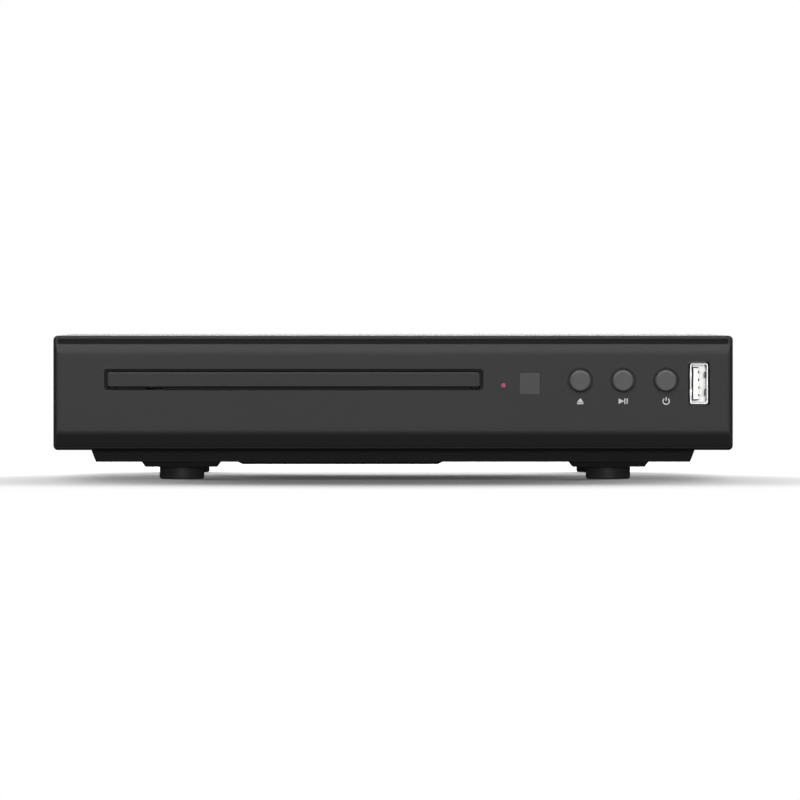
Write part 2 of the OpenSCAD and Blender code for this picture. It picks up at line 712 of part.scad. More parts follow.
module button_guide() {
    x0 = button_x(0) - 6.5;
    x1 = button_x(2) + 6.5;
    color("#1f1f21")
    difference() {
        union() {
            box([x0, back(guide_d), button_z - 6.5], [x1, back(guide_d + guide_t), button_z + 6.5]);
            for (i = [0:2])
                rod_y(button_x(i), back(guide_d), back(guide_d + guide_t + 2.4), button_z,
                    stem_r + 1.2);
            for (x = [x0 + 1.6, x1 - 1.6], z = [button_z - 4.9, button_z + 4.9])
                rod_y(x, back(panel_t), back(guide_d + 0.5), z, 1.4);
        }
        for (i = [0:2]) rod_y(button_x(i), back(guide_d - 1), back(stem_end), button_z, stem_r + shaft_gap);
    }
}
module ir_window() {
    color("#4a4448")
    union() {
        round_bar(window_x, window_z, window_w, window_h, 0.4, back(0), back(panel_t + 0.2));
        round_bar(window_x, window_z, window_w + 2, window_h + 2, 0.4, back(panel_t), back(panel_t + 1));
    }
}
module led_pipe() {
    color("#e04848")
    union() {
        rod_y(lamp_x, back(0), back(key_d - 2), lamp_z, lamp_r);
        rod_y(lamp_x, back(panel_t), back(panel_t + 1), lamp_z, lamp_r + 1);
    }
}
module key_board() {
    color("#2f5d3a")
    box([key_x0, back(key_d), key_z0], [key_x1, back(key_d + pcb_t), key_z1]);
}
module key_switches() {
    color("#26262a")
    for (i = [0:2]) difference() {
        box([button_x(i) - 3, back(key_d - switch_h), button_z - 3],
            [button_x(i) + 3, back(key_d), button_z + 3]);
        rod_y(button_x(i), back(key_d - switch_h - 1), back(key_d - switch_h + 2.4), button_z,
            plunger_r + shaft_gap);
    }
}
module led() {
    color("#f3c9c4")
    box([lamp_x - 1.5, back(key_d - 1.6), lamp_z - 1], [lamp_x + 1.5, back(key_d), lamp_z + 1]);
}
module ir_receiver() {
    color("#151517")
    union() {
        box([window_x - 3, back(key_d - 5.5), window_z - 3.5],
            [window_x + 3, back(key_d - 2), window_z + 3.5]);
        translate([window_x, back(key_d - 5.5), window_z]) sphere(r = 2.2, $fn = 32);
        for (i = [-1:1])
            box([window_x - 0.3 + i * 2, back(key_d - 2.2), window_z - 3],
                [window_x + 0.3 + i * 2, back(key_d), window_z - 2.4]);
    }
}
module usb_shell() {
    color("#c9ccd0")
    difference() {
        round_bar(usb_x, usb_z, usb_w, usb_h, 0.7, back(0.6), back(key_d));
        round_bar(usb_x, usb_z, usb_w - 2 * usb_t, usb_h - 2 * usb_t, 0.4, back(0), back(key_d + 1));
        for (z = [usb_z - 3, usb_z + 3])
            box([usb_x - usb_w, back(3), z - 1.3], [usb_x + usb_w, back(7.5), z + 1.3]);
    }
}
module usb_tongue() {
    left = usb_x - usb_w / 2 + usb_t;
    color("#f2f2f0")
    union() {
        box([left + 0.8, back(2.8), usb_z - 5.15], [left + 2.5, back(key_d), usb_z + 5.15]);
        round_bar(usb_x, usb_z, usb_w - 2 * usb_t - 2 * shaft_gap, usb_h - 2 * usb_t - 2 * shaft_gap,
            0.4, back(12), back(key_d));
    }
}
module usb_contacts() {
    x = usb_x - usb_w / 2 + usb_t + 2.5;
    color("#d8b45a")
    for (z = [-3.5, -1, 1, 3.5]) box([x, back(4), usb_z + z - 0.5], [x + 0.15, back(12), usb_z + z + 0.5]);
}

// ---- tray and its drive ----
module rack() {
    pitch = PI * rack_module;
    half = (pitch / 2 - tooth_play) / 2;
    root = half + 1.25 * rack_module * tan(tooth_angle);
    tip = half - rack_module * tan(tooth_angle);
    first = floor((bar_t + 5 - gear_d) / pitch);
    last = floor((gear_d + tray_travel + 6 - gear_d) / pitch);
    base = loader_x - rack_offset - 1.25 * rack_module;
    points = [for (i = [first:last]) let (y = gear_y + (i + 0.5) * pitch)
        each [[base, y - root], [base + 2.25 * rack_module, y - tip],
            [base + 2.25 * rack_module, y + tip], [base, y + root]]];
    translate([0, 0, tray_z0]) linear_extrude(deck_z - tray_z0 + 0.3)
        polygon(concat([[base - 2.5, gear_y + first * pitch]], points,
            [[base - 2.5, gear_y + (last + 1) * pitch]]));
}
module disc_tray() {
    y0 = back(bar_t);
    y1 = back(tray_end);
    color("#232325")
    difference() {
        union() {
            translate([loader_x, 0, deck_z]) linear_extrude(tray_z1 - deck_z) polygon(concat(
                [[-tray_half, y0], [tray_half, y0]],
                arc(tray_half - 6, y1 - 6, 6, 0, 90), arc(-tray_half + 6, y1 - 6, 6, 90, 180)));
            for (s = [-1, 1]) box([loader_x + s * tray_half - (s > 0 ? 2.5 : 0), y0, tray_z0],
                [loader_x + s * tray_half + (s > 0 ? 0 : 2.5), y1 - 6, deck_z + 0.3]);
            rack();
        }
        rod_z(loader_x, disc_y, seat_z, tray_z1 + 1, disc_seat / 2);
        rod_z(loader_x, disc_y, seat_z - small_sink, tray_z1, small_seat / 2);
        for (s = [-1, 1]) translate([loader_x, disc_y, 0]) rotate([0, 0, s * 45])
            rod_z(0, -disc_seat / 2, seat_z, tray_z1 + 1, 9);
        rod_z(loader_x, disc_y, deck_z - 1, tray_z1 + 1, hatch_r);
        box([loader_x - hatch_r, disc_y, deck_z - 1], [loader_x + hatch_r, y1 - 18, tray_z1 + 1]);
        for (s = [-1, 1])
            box([loader_x + s * 39 - 15, y1 - 21, seat_z - 0.8],
                [loader_x + s * 39 + 15, y1 - 5, tray_z1 + 1]);
    }
}
module tray_front() {
    w = slot_w - 2 * bar_gap;
    h = slot_h - 2 * bar_gap;
    color("#3b3b3d")
    hull() {
        round_bar(loader_x, slot_z, w - 0.6, h - 0.6, 0.6 * slot_r, back(0), back(0.1));
        round_bar(loader_x, slot_z, w, h, 0.8 * slot_r, back(0.3), back(bar_t));
    }
}
module drive_gear() {
    color("#e8e4d8")
    translate([drive_x, gear_y, 0]) difference() {
        union() {
            translate([0, 0, wheel_z]) linear_extrude(wheel_t)
                polygon(gear_points(pair_module, wheel_teeth, 0));
            translate([0, 0, wheel_z + wheel_t - 0.2]) linear_extrude(pinion_z - wheel_z - wheel_t + 0.2)
                polygon(gear_points(rack_module, pinion_teeth, 180));
        }
        rod_z(0, 0, wheel_z - 1, deck_z, post_r + shaft_gap);
        for (i = [0:5])
            rotate([0, 0, i * 60 + 30])
                rod_z(wheel_pitch_r - 3.4, 0, wheel_z - 1, wheel_z + wheel_t + 0.1, 1.5);
    }
}
module pulley_gear() {
    rim = pulley_r + rim_extra;
    color("#e8e4d8")
    translate([pulley_x, gear_y, 0]) difference() {
        union() {
            translate([0, 0, wheel_z]) linear_extrude(pulley_z - wheel_z + 0.2)
                polygon(gear_points(pair_module, small_teeth, 180 + 180 / small_teeth));
            rotate_extrude() polygon([[0, pulley_z], [rim, pulley_z], [pulley_r, belt_z - groove_half],
                [pulley_r, belt_z + groove_half], [rim, pulley_z + pulley_t], [0, pulley_z + pulley_t]]);
        }
        rod_z(0, 0, wheel_z - 1, deck_z, post_r + shaft_gap);
    }
}
module motor_pulley() {
    rim = motor_pulley_r + rim_extra;
    color("#e8e4d8")
    translate([motor_x, gear_y, 0]) rotate_extrude()
        polygon([[0, gear_deck_z - gear_deck_t - 6], [1, gear_deck_z - gear_deck_t - 6],
            [1, pulley_z], [rim, pulley_z],
            [motor_pulley_r, belt_z - groove_half], [motor_pulley_r, belt_z + groove_half],
            [rim, pulley_z + pulley_t], [0, pulley_z + pulley_t]]);
}
module loading_motor() {
    z1 = gear_deck_z - gear_deck_t;
    color("#b9bcc0")
    translate([motor_x, gear_y, 0]) difference() {
        union() {
            rotate_extrude() polygon([[0, z1 - loading_motor_h], [loading_motor_r - 1, z1 - loading_motor_h],
                [loading_motor_r, z1 - loading_motor_h + 1], [loading_motor_r, z1 - 0.5],
                [loading_motor_r - 0.5, z1], [0, z1]]);
            rod_z(0, 0, z1 - 0.5, z1 + 1, 3);
        }
        rod_z(0, 0, z1 - 7, z1 + 2, 1 + shaft_gap);
    }
}
module drive_belt() {
    color("#101011")
    translate([0, gear_y, belt_z - belt_t / 2]) linear_extrude(belt_t) difference() {
        hull() {
            translate([pulley_x, 0]) circle(r = pulley_r + 0.1 + belt_t);
            translate([motor_x, 0]) circle(r = motor_pulley_r + 0.1 + belt_t);
        }
        hull() {
            translate([pulley_x, 0]) circle(r = pulley_r + 0.1);
            translate([motor_x, 0]) circle(r = motor_pulley_r + 0.1);
        }
    }
}
module cam_slot(x) {
    r = cam_peg_r + run_gap;
    for (leg = [[[x + 3, cam_low_z], [x, cam_low_z]], [[x, cam_low_z], [x - cam_travel, cam_peg_z]],
            [[x - cam_travel, cam_peg_z], [x - cam_travel - 3, cam_peg_z]]])
        hull() {
            translate(leg[0]) circle(r = r);
            translate(leg[1]) circle(r = r);
        }
}
module cam_slider() {
    x0 = cam_peg_x[0] - cam_travel - 8;
    x1 = cam_peg_x[1] + 8;
    color("#d9d6cc")
    along_y(cam_y0, cam_y0 + cam_t) difference() {
        translate([x0, cam_low_z - cam_web]) square([x1 - x0, cam_peg_z - cam_low_z + 2 * cam_web]);
        for (x = cam_peg_x) cam_slot(x);
    }
}
module tray_switch() {
    x = motor_x + 22;
    color("#222226")
    union() {
        box([x, back(gear_d + 4), gear_deck_z], [x + 8, back(gear_d + 9), gear_deck_z + 4]);
        box([x + 1.5, back(gear_d + 2), gear_deck_z + 1.5], [x + 2.5, back(gear_d + 4.2), gear_deck_z + 3]);
    }
}

// ---- loader ----
module loader_wall(s) {
    sx = loader_x + s * wall_in;
    dx = s > 0 ? [0, frame_t] : [-frame_t, 0];
    lx = s > 0 ? [-ledge_w, 0.5] : [-0.5, ledge_w];
    box([sx + dx[0], back(frame_front), chin_clear_z], [sx + dx[1], back(frame_end), wall_z1]);
    box([sx + dx[0], wall_y0, wall_z0], [sx + dx[1], back(frame_end), wall_z1]);
    box([sx + lx[0], back(frame_front), tray_z0 - run_gap - 1.6],
        [sx + lx[1], back(frame_end), tray_z0 - run_gap]);
    box([sx + dx[0], disc_y - 17, wall_z0], [sx + dx[1], disc_y + 17, bridge_z]);
    for (y = [back(9), back(120)])
        box([sx + min(dx[0], -s * 2.5), y, tray_z1 + run_gap],
            [sx + max(dx[1], -s * 2.5), y + 8, tray_z1 + run_gap + 1.2]);
    for (y = lug_y)
        box([loader_x + s * (s > 0 ? wall_out - 0.5 : lug_end), y - lug_half, lug_z],
            [loader_x + s * (s > 0 ? lug_end : wall_out - 0.5), y + lug_half, lug_z + lug_t]);
    box([loader_x + (s > 0 ? lift_half + 4 : -wall_in - 0.5), hinge_y - 5, hinge_z - 5],
        [loader_x + (s > 0 ? wall_in + 0.5 : -lift_half - 4), hinge_y + 5, hinge_z + 5]);
}
module loader_frame() {
    cross_y = cam_y0 - run_gap - 1.8;
    color("#e0dccf")
    difference() {
        union() {
            for (s = [-1, 1]) loader_wall(s);
            box([loader_x - wall_in - 0.5, back(frame_front), gear_deck_z - gear_deck_t],
                [motor_x + 34, cross_y + 1.8, gear_deck_z]);
            box([loader_x - wall_in - 0.5, cross_y, wall_z0],
                [loader_x + wall_in + 0.5, cross_y + 1.8, gear_deck_z]);
            box([loader_x - lift_half - 2, cross_y, cam_shelf_z - 1.2],
                [loader_x + lift_half + 11, cross_y + 1.8, wall_z0 + 1]);
            box([loader_x - lift_half - 2, cross_y, cam_shelf_z - 1.2],
                [loader_x + lift_half + 11, cam_y0 + cam_t + 0.4, cam_shelf_z]);
            box([loader_x - wall_in - 0.5, back(frame_end - 5), wall_z0],
                [loader_x + wall_in + 0.5, back(frame_end - 3), tray_z0 - run_gap - 1]);
            rod_z(drive_x, gear_y, gear_deck_z - 0.5, deck_z - 0.6, post_r);
            rod_z(pulley_x, gear_y, gear_deck_z - 0.5, pulley_z + pulley_t + 0.3, post_r);
        }
        for (w = [[38, 48], [60, 76], [90, 106], [112, 128]])
            box([loader_x - wall_out - 1, back(w[0]), wall_z0 + 3.5],
                [loader_x + wall_out + 1, back(w[1]), tray_z0 - run_gap - 4]);
        rod_z(motor_x, gear_y, gear_deck_z - 3, gear_deck_z + 1, 3.4);
        for (s = [-1, 1], y = lug_y) rod_z(loader_x + s * lug_off, y, lug_z - 1, lug_z + lug_t + 1, 1.5);
        for (s = [-1, 1])
            rod_x(loader_x + (s > 0 ? lift_half : -lift_half - 11),
                loader_x + (s > 0 ? lift_half + 11 : -lift_half),
            hinge_y, hinge_z, hinge_r + shaft_gap);
    }
}
module loader_screws() {
    color("#9a9da2")
    for (s = [-1, 1], y = lug_y)
        translate([loader_x + s * lug_off, y, lug_z + lug_t])
            pan_screw(2.8, 1.6, 1.15, lug_t + lug_hole - 0.2);
}
module clamp_bridge() {
    l = 17;
    color("#d4d0c4")
    difference() {
        union() {
            box([loader_x - wall_out, disc_y - l, bridge_z],
                [loader_x + wall_out, disc_y + l, bridge_z + bridge_t]);
            for (y = [disc_y - l, disc_y + l - 1.4])
                box([loader_x - wall_out + 4, y, bridge_z],
                    [loader_x + wall_out - 4, y + 1.4, bridge_z + bridge_t + 2.2]);
        }
        rod_z(loader_x, disc_y, bridge_z - 1, bridge_z + bridge_t + 1, bridge_hole_r);
        for (s = [-1, 1])
            box([loader_x + s * 38 - 14, disc_y - 9, bridge_z - 1],
                [loader_x + s * 38 + 14, disc_y + 9, bridge_z + bridge_t + 1]);
    }
}
module clamper() {
    z0 = disc_z + 1.55;
    z1 = bridge_z - run_gap;
    z2 = bridge_z + bridge_t + run_gap;
    neck = bridge_hole_r - 0.6;
    color("#efece2")
    translate([loader_x, disc_y, 0]) rotate_extrude()
        polygon([[0, z0 + 1.1], [hub_r + 0.5, z0 + 1.1], [hub_r + 0.5, z0], [clamper_r - 0.4, z0],
            [clamper_r, z0 + 0.4], [clamper_r, z1], [neck, z1], [neck, z2], [neck + 3.4, z2],
            [neck + 3.4, z2 + 1.3], [6.5, z2 + 1.3], [6.5, z2 - 0.5], [0, z2 - 0.5]]);
}
module clamp_magnet() {
    z2 = bridge_z + bridge_t + run_gap;
    color("#8d8f94")
    rod_z(loader_x, disc_y, z2 - 0.5, z2 + 1.3, 6.5 - shaft_gap);
}

// ---- traverse ----
module lift_frame() {
    in_half = lift_half - lift_bar;
    color("#26262a")
    lowered() difference() {
        union() {
            box([loader_x - lift_half, lift_y0, lift_z0], [loader_x + lift_half, lift_y1, lift_z1]);
            for (x = cam_peg_x) {
                box([x - 3, lift_y0, lift_z1 - 0.5], [x + 3, lift_y0 + 3, cam_peg_z + 2]);
                rod_y(x, cam_y0 - 0.1, lift_y0 + 0.5, cam_peg_z, cam_peg_r);
            }
            rod_x(loader_x - lift_half - 10, loader_x + lift_half + 10, hinge_y, hinge_z, hinge_r);
        }
        box([loader_x - in_half, lift_y0 + lift_bar, lift_z0 - 3],
            [loader_x + in_half, lift_y1 - lift_bar, lift_z1 + 3]);
        for (s = [-1, 1], y = [lift_y0 + 12, lift_y1 - 12])
            rod_z(loader_x + s * (lift_half - lift_bar / 2), y, lift_z1 - 2, lift_z1 + 1, 3);
    }
}
module dampers() {
    color("#161617")
    lowered() for (s = [-1, 1], y = [lift_y0 + 12, lift_y1 - 12])
        rod_z(loader_x + s * (lift_half - lift_bar / 2), y, lift_z1 - 2, chassis_z - chassis_t,
            3 - shaft_gap);
}
module rod_block(x, y, r, bore) {
    difference() {
        box([x - r, y, chassis_z - 0.3], [x + r, y + 3, rod_z + r]);
        rod_y(x, y - 1, y + 4, rod_z, bore);
    }
}
module pickup_chassis() {
    motor_x0 = loader_x + screw_off;
    color("#a9acb0")
    lowered() union() {
        difference() {
            union() {
                box([loader_x - chassis_half, lift_y0 + 8, chassis_z - chassis_t],
                    [loader_x + chassis_half, hinge_y - 1, chassis_z]);
                for (y = [lift_y0 + 12, lift_y1 - 12])
                    box([loader_x - lift_half, y - 3.5, chassis_z - chassis_t],
                        [loader_x + lift_half, y + 3.5, chassis_z]);
            }
            box([loader_x - 19, sled_y0 + 1, chassis_z - 3], [loader_x + 19, hinge_y - 7, chassis_z + 1]);
            box([motor_x0 - sled_motor_r + 0.5, sled_motor_y0, chassis_z - 3],
                [motor_x0 + sled_motor_r - 0.5, sled_motor_y0 + sled_motor_l + 1, chassis_z + 1]);
        }
        for (x = [loader_x - rod_left, loader_x + rod_right], y = [rod_y0, rod_y1 - 3])
            rod_block(x, y, rod_r + 1, rod_r + 0.02);
        rod_block(motor_x0, screw_y0, 2.6, screw_r + shaft_gap);
        rod_block(motor_x0, sled_motor_y0 - 3, 3.4, screw_r + shaft_gap);
    }
}
module spindle_motor() {
    color("#b4b7bb")
    lowered() translate([loader_x, disc_y, 0]) difference() {
        union() {
            rod_z(0, 0, chassis_z, chassis_z + 1.4, table_r - 0.5);
            rod_z(0, 0, chassis_z + 1, chassis_z + 5.4, 3.2);
        }
        rod_z(0, 0, chassis_z + 0.6, chassis_z + 6, 1.5 + shaft_gap);
    }
}
module turntable() {
    z = chassis_z;
    can = table_r - 1.5;
    color("#2c2c30")
    lowered() translate([loader_x, disc_y, 0]) rotate_extrude()
        polygon([[0, z + 0.9], [1.5, z + 0.9], [1.5, z + 5.8], [can - 0.8, z + 5.8],
            [can - 0.8, z + 1.8], [can, z + 1.8], [can, z + 6.6], [table_r, z + 7],
            [table_r, disc_z - 0.5], [table_r - 0.4, disc_z - 0.1], [table_r - 0.6, disc_z - 0.1],
            [table_r - 0.6, disc_z - 0.5], [table_r - 4.6, disc_z - 0.5], [table_r - 4.6, disc_z],
            [hub_r, disc_z], [hub_r, disc_z + hub_h * 0.5], [hub_r - 2, disc_z + hub_h],
            [2.5, disc_z + hub_h], [2.5, disc_z + hub_h - 0.8], [0, disc_z + hub_h - 0.8]]);
}
module turntable_pad() {
    color("#0f0f10")
    lowered() translate([loader_x, disc_y, disc_z - 0.5]) difference() {
        cylinder(h = 0.5, r = table_r - 0.65);
        translate([0, 0, -1]) cylinder(h = 3, r = table_r - 4.55);
    }
}
module guide_rods() {
    color("#d0d3d6")
    lowered() for (x = [loader_x - rod_left, loader_x + rod_right]) rod_y(x, rod_y0, rod_y1, rod_z, rod_r);
}
module pickup_sled() {
    body = 17.6;
    z0 = chassis_z + 0.8;
    z1 = disc_z - 4.1;
    sx = loader_x + screw_off;
    color("#4a4c50")
    lowered() difference() {
        union() {
            box([loader_x - body, sled_y0, z0], [loader_x + body, sled_y1, z1]);
            box([loader_x - 14, sled_y0 + 5, z0 - 5], [loader_x + 14, sled_y0 + 23, z0 + 0.5]);
            for (x = [loader_x - rod_left, loader_x + rod_right]) {
                rod_y(x, sled_y0 + 6, sled_y0 + 26, rod_z, rod_r + 1.3);
                box([min(x, loader_x), sled_y0 + 6, rod_z - 1],
                    [max(x, loader_x), sled_y0 + 26, rod_z + 2.2]);
            }
            box([loader_x + rod_right, sled_y0 + 6, rod_z - 2], [sx + 2.8, sled_y0 + 12, rod_z + 2.6]);
        }
        for (x = [loader_x - rod_left, loader_x + rod_right])
            rod_y(x, sled_y0 - 1, sled_y1 + 1, rod_z, rod_r + shaft_gap);
        rod_y(sx, sled_y0, sled_y1, rod_z, screw_r + shaft_gap);
        box([loader_x - 8, sled_y0 + 3, z1 - 0.6], [loader_x + 8, sled_y0 + 15, z1 + 1]);
    }
}
module objective_lens() {
    z0 = disc_z - 4.1;
    color("#3a5a8a")
    lowered() translate([loader_x, lens_y, 0]) union() {
        box([-4.5, -4, z0 + 0.1], [4.5, 4, z0 + 1.6]);
        rotate_extrude() polygon(concat([[0, z0 + 1], [2.6, z0 + 1], [2.6, z0 + 1.9]],
            arc(0, z0 - 1, 3.4, 50, 90, 6)));
    }
}
module sled_motor() {
    x = loader_x + screw_off;
    color("#bcbfc3")
    lowered() difference() {
        rod_y(x, sled_motor_y0, sled_motor_y0 + sled_motor_l, rod_z, sled_motor_r);
        rod_y(x, sled_motor_y0 - 1, sled_motor_y0 + 4, rod_z, screw_r + shaft_gap);
    }
}
module lead_screw() {
    color("#d0d3d6")
    lowered() rod_y(loader_x + screw_off, screw_y0 + 0.5, sled_motor_y0 + 3.5, rod_z, screw_r);
}

// ---- electronics ----
module main_board() {
    color("#2f5d3a")
    difference() {
        union() {
            box([board_x0, board_y0, board_z], [board_x1, board_y1, board_top]);
            box([strip_x0, board_y1 - strip_d, board_z], [board_x1, board_y1, board_top]);
        }
        for (x = post_x, y = post_y) rod_z(x, y, board_z - 1, board_top + 1, 1.5);
        for (y = lug_y) box([board_x0 - 1, y - lug_half - 1, board_z - 1],
            [loader_x + lug_end + 1, y + lug_half + 1, board_top + 1]);
    }
}
module board_screws() {
    color("#9a9da2")
    for (x = post_x, y = post_y) translate([x, y, board_top]) pan_screw(2.8, 1.6, 1.15, 6);
}
// u and v place a part on the board, from 0 at its left and front edges to 1
module chip(u, v, w, l, h) {
    p = on_board(u, v);
    box([p[0] - w / 2, p[1] - l / 2, board_top], [p[0] + w / 2, p[1] + l / 2, board_top + h]);
}
module chips() {
    color("#17171a")
    union() {
        chip(0.55, 0.435, 20, 20, 1.6);
        chip(0.23, 0.45, 10, 22, 1.2);
        chip(0.55, 0.265, 10, 12, 2);
        chip(0.27, 0.265, 6, 8, 1.6);
        chip(0.85, 0.265, 5, 6, 1.6);
    }
}
module capacitor(u, v, r, h) {
    groove = 0.35;
    translate([for (c = on_board(u, v)) c, 0]) rotate_extrude()
        polygon([[0, board_top], [r - 0.3, board_top], [r, board_top + 0.4], [r, board_top + 1.2],
            [r - groove, board_top + 1.6], [r, board_top + 2], [r, board_top + h - 0.4],
            [r - 0.4, board_top + h], [0, board_top + h]]);
}
module capacitors() {
    color("#24242c")
    union() {
        for (u = [0.19, 0.36]) capacitor(u, 0.635, 4, 11);
        for (u = [0.52, 0.66]) capacitor(u, 0.645, 3.15, 8);
        capacitor(0.82, 0.66, 5, 12);
        capacitor(0.19, 0.14, 3.15, 8);
        for (u = [0.71, 0.85]) capacitor(u, 0.115, 2.5, 6);
    }
}
// a wound coil between two square flanges
module inductor(u, v, w, h) {
    flange = 1.2;
    chip(u, v, w, w, flange);
    translate([0, 0, h - flange]) chip(u, v, w, w, flange);
    translate([for (c = on_board(u, v)) c, 0]) rod_z(0, 0, board_top, board_top + h, w * 0.42);
}
module power_parts() {
    color("#8a5a2c")
    union() {
        for (u = [0.165, 0.41]) inductor(u, 0.775, 12, 6);
        chip(0.66, 0.765, 6, 9, 4.5);
        chip(0.44, 0.105, 12, 5, 6.5);
        chip(0.765, 0.53, 8, 4, 3.5);
    }
}
module hdmi_socket() {
    color("#c9ccd0")
    union() {
        difference() {
            box([hdmi_x - hdmi_w / 2, rear_y0 - 10, board_top],
                [hdmi_x + hdmi_w / 2, rear_y - 0.4, board_top + hdmi_h]);
            box([hdmi_x - hdmi_w / 2 + 0.4, rear_y0 - 8, board_top + 1.6],
                [hdmi_x + hdmi_w / 2 - 0.4, rear_y, board_top + hdmi_h - 0.4]);
            box([hdmi_x - hdmi_w / 2 + 1.6, rear_y0 - 8, board_top + 0.4],
                [hdmi_x + hdmi_w / 2 - 1.6, rear_y, board_top + 3]);
        }
        box([hdmi_x - 5.2, rear_y0 - 9, board_top + 2.5], [hdmi_x + 5.2, rear_y0 + 0.4, board_top + 3.4]);
    }
}
module jack_block() {
    color("#1b1b1d")
    difference() {
        union() {
            box([jack_x(0) - 6, rear_y0 - 11, board_top], [jack_x(2) + 6, rear_y0, jack_z + 5.5]);
            for (i = [0:2]) rod_y(jack_x(i), rear_y0 - 1, rear_y + jack_proud - 0.4, jack_z, jack_r - 0.75);
        }
        for (i = [0:2]) rod_y(jack_x(i), rear_y - 2, rear_y + jack_proud + 1, jack_z, 1.6);
    }
}
module jack_barrels() {
    color("#d6c27a")
    for (i = [0:2]) difference() {
        union() {
            rod_y(jack_x(i), rear_y - cover_t, rear_y, jack_z, jack_r + 1.2);
            rod_y(jack_x(i), rear_y - 0.1, rear_y + jack_proud, jack_z, jack_r);
        }
        rod_y(jack_x(i), rear_y - 2, rear_y + jack_proud + 1, jack_z, jack_r - 0.7);
    }
}
module dc_inlet() {
    z = board_top + 6;
    color("#1b1b1d")
    difference() {
        union() {
            box([inlet_x - 4.5, rear_y0 - 13, board_top], [inlet_x + 4.5, rear_y0, board_top + 11]);
            rod_y(inlet_x, rear_y0 - 1, rear_y - 0.4, z, 4.5);
        }
        difference() {
            rod_y(inlet_x, rear_y - 9.5, rear_y + 1, z, 2.9);
            rod_y(inlet_x, rear_y - 10, rear_y - 1.4, z, 1);
        }
    }
}

top_cover();
bottom_shell();
front_panel();
rear_panel();
cover_screws();
foot_front_left();
foot_front_right();
foot_rear_left();
foot_rear_right();
disc_tray();
tray_front();
eject_button();
play_button();
power_button();
eject_plunger();
play_plunger();
power_plunger();
button_guide();
ir_window();
led_pipe();
key_board();
key_switches();
led();
ir_receiver();
usb_shell();
usb_tongue();
usb_contacts();
loader_frame();
loader_screws();
clamp_bridge();
clamper();
clamp_magnet();
drive_gear();
pulley_gear();
motor_pulley();
loading_motor();
drive_belt();
cam_slider();
tray_switch();
lift_frame();
pickup_chassis();
dampers();
spindle_motor();
turntable();
turntable_pad();
guide_rods();
pickup_sled();
objective_lens();
sled_motor();
lead_screw();
main_board();
board_screws();
chips();
capacitors();
power_parts();
hdmi_socket();
jack_block();
jack_barrels();
dc_inlet();
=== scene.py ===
import json
import math
import random
from itertools import product

import bmesh
import bpy
from mathutils import Matrix, Vector

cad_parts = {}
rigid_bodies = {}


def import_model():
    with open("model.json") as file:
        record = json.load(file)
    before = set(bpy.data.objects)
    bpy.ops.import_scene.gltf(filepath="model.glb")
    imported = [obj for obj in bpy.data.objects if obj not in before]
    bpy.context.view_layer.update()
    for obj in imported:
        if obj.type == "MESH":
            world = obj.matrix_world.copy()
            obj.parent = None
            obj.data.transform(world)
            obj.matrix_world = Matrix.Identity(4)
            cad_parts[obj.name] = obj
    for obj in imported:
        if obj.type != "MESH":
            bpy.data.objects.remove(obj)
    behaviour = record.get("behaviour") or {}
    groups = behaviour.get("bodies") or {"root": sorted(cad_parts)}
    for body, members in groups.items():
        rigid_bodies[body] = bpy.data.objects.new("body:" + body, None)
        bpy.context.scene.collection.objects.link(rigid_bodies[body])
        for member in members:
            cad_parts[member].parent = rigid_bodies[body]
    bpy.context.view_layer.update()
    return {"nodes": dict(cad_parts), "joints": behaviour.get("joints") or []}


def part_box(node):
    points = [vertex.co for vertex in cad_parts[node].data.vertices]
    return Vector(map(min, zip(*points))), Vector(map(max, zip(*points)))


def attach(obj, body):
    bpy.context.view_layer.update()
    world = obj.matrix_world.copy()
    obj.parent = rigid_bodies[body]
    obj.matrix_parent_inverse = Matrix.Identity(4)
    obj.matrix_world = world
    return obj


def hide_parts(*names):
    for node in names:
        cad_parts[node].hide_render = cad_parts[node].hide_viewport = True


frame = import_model()
nodes = frame["nodes"]
joints = {joint["name"]: joint for joint in frame["joints"]}
mm = 0.001


# camera, floor and lights

camera = {
    "place": (-0.016, -3.683, 0.0589),
    "aim": (0.00225, -0.10275, 0.0265),
    "lens": 487,
    "sensor": 36,
    "clipEnd": 50,
}

studio = {
    "floorSize": 16.0,
    "floorColour": (0.93, 0.93, 0.935),
    "floorRoughness": 0.9,
    "floorGlow": 0.06,        # keeps the deepest shadow from going black
    "paintedShadowColour": (0.66, 0.66, 0.66),
    # Two ovals on the floor, this much longer than deep: in the shade oval the floor's colour is
    # painted darker round the player, a painted shadow, and the fade turns the floor into the
    # backdrop.
    "shade": {"middle": -0.1, "stretch": 1.15, "start": 0.03, "end": 0.21},
    "fade": {"middle": 0.05, "stretch": 1.6, "start": 0.2, "end": 0.37},
    "backdrop": (1.0, 1.0, 1.0),
    "skyAbove": 0.2,
    "skyBelow": 0.05,
    "skyTurn": (-0.25, 0.35),  # heights between which the sky brightens
}

# Each box lights only the floor or only the player. The low one lets light in under the player.
softBoxes = {
    "floorWash": {"place": (0, 2.3, 0.9), "size": (3.6, 0.6), "watts": 140, "lights": "floor"},
    "floorLow": {"place": (0, 2.2, 0.146), "size": (3.4, 0.1), "watts": 800, "lights": "floor"},
    "overhead": {"place": (0, -0.8, 1.45), "size": (1.9, 0.8), "watts": 18, "lights": "player"},
    "highLeft": {"place": (-0.9, -0.8, 1.05), "size": (0.6, 0.6), "watts": 7, "lights": "player"},
    "highRight": {"place": (0.9, -0.8, 1.05), "size": (0.6, 0.6), "watts": 7, "lights": "player"},
    "frontFill": {"place": (0, -3.2, 0.25), "size": (1.2, 0.5), "watts": 15, "lights": "player"},
    "rearFill": {"place": (0.4, 1.8, 0.8), "size": (1.4, 0.9), "watts": 16, "lights": "player"},
}


def addObject(name, data):
    item = bpy.data.objects.new(name, data)
    bpy.context.scene.collection.objects.link(item)
    return item


def lookAt(place, aim):
    direction = Vector(aim) - Vector(place)
    return direction.to_track_quat("-Z", "Y").to_euler()


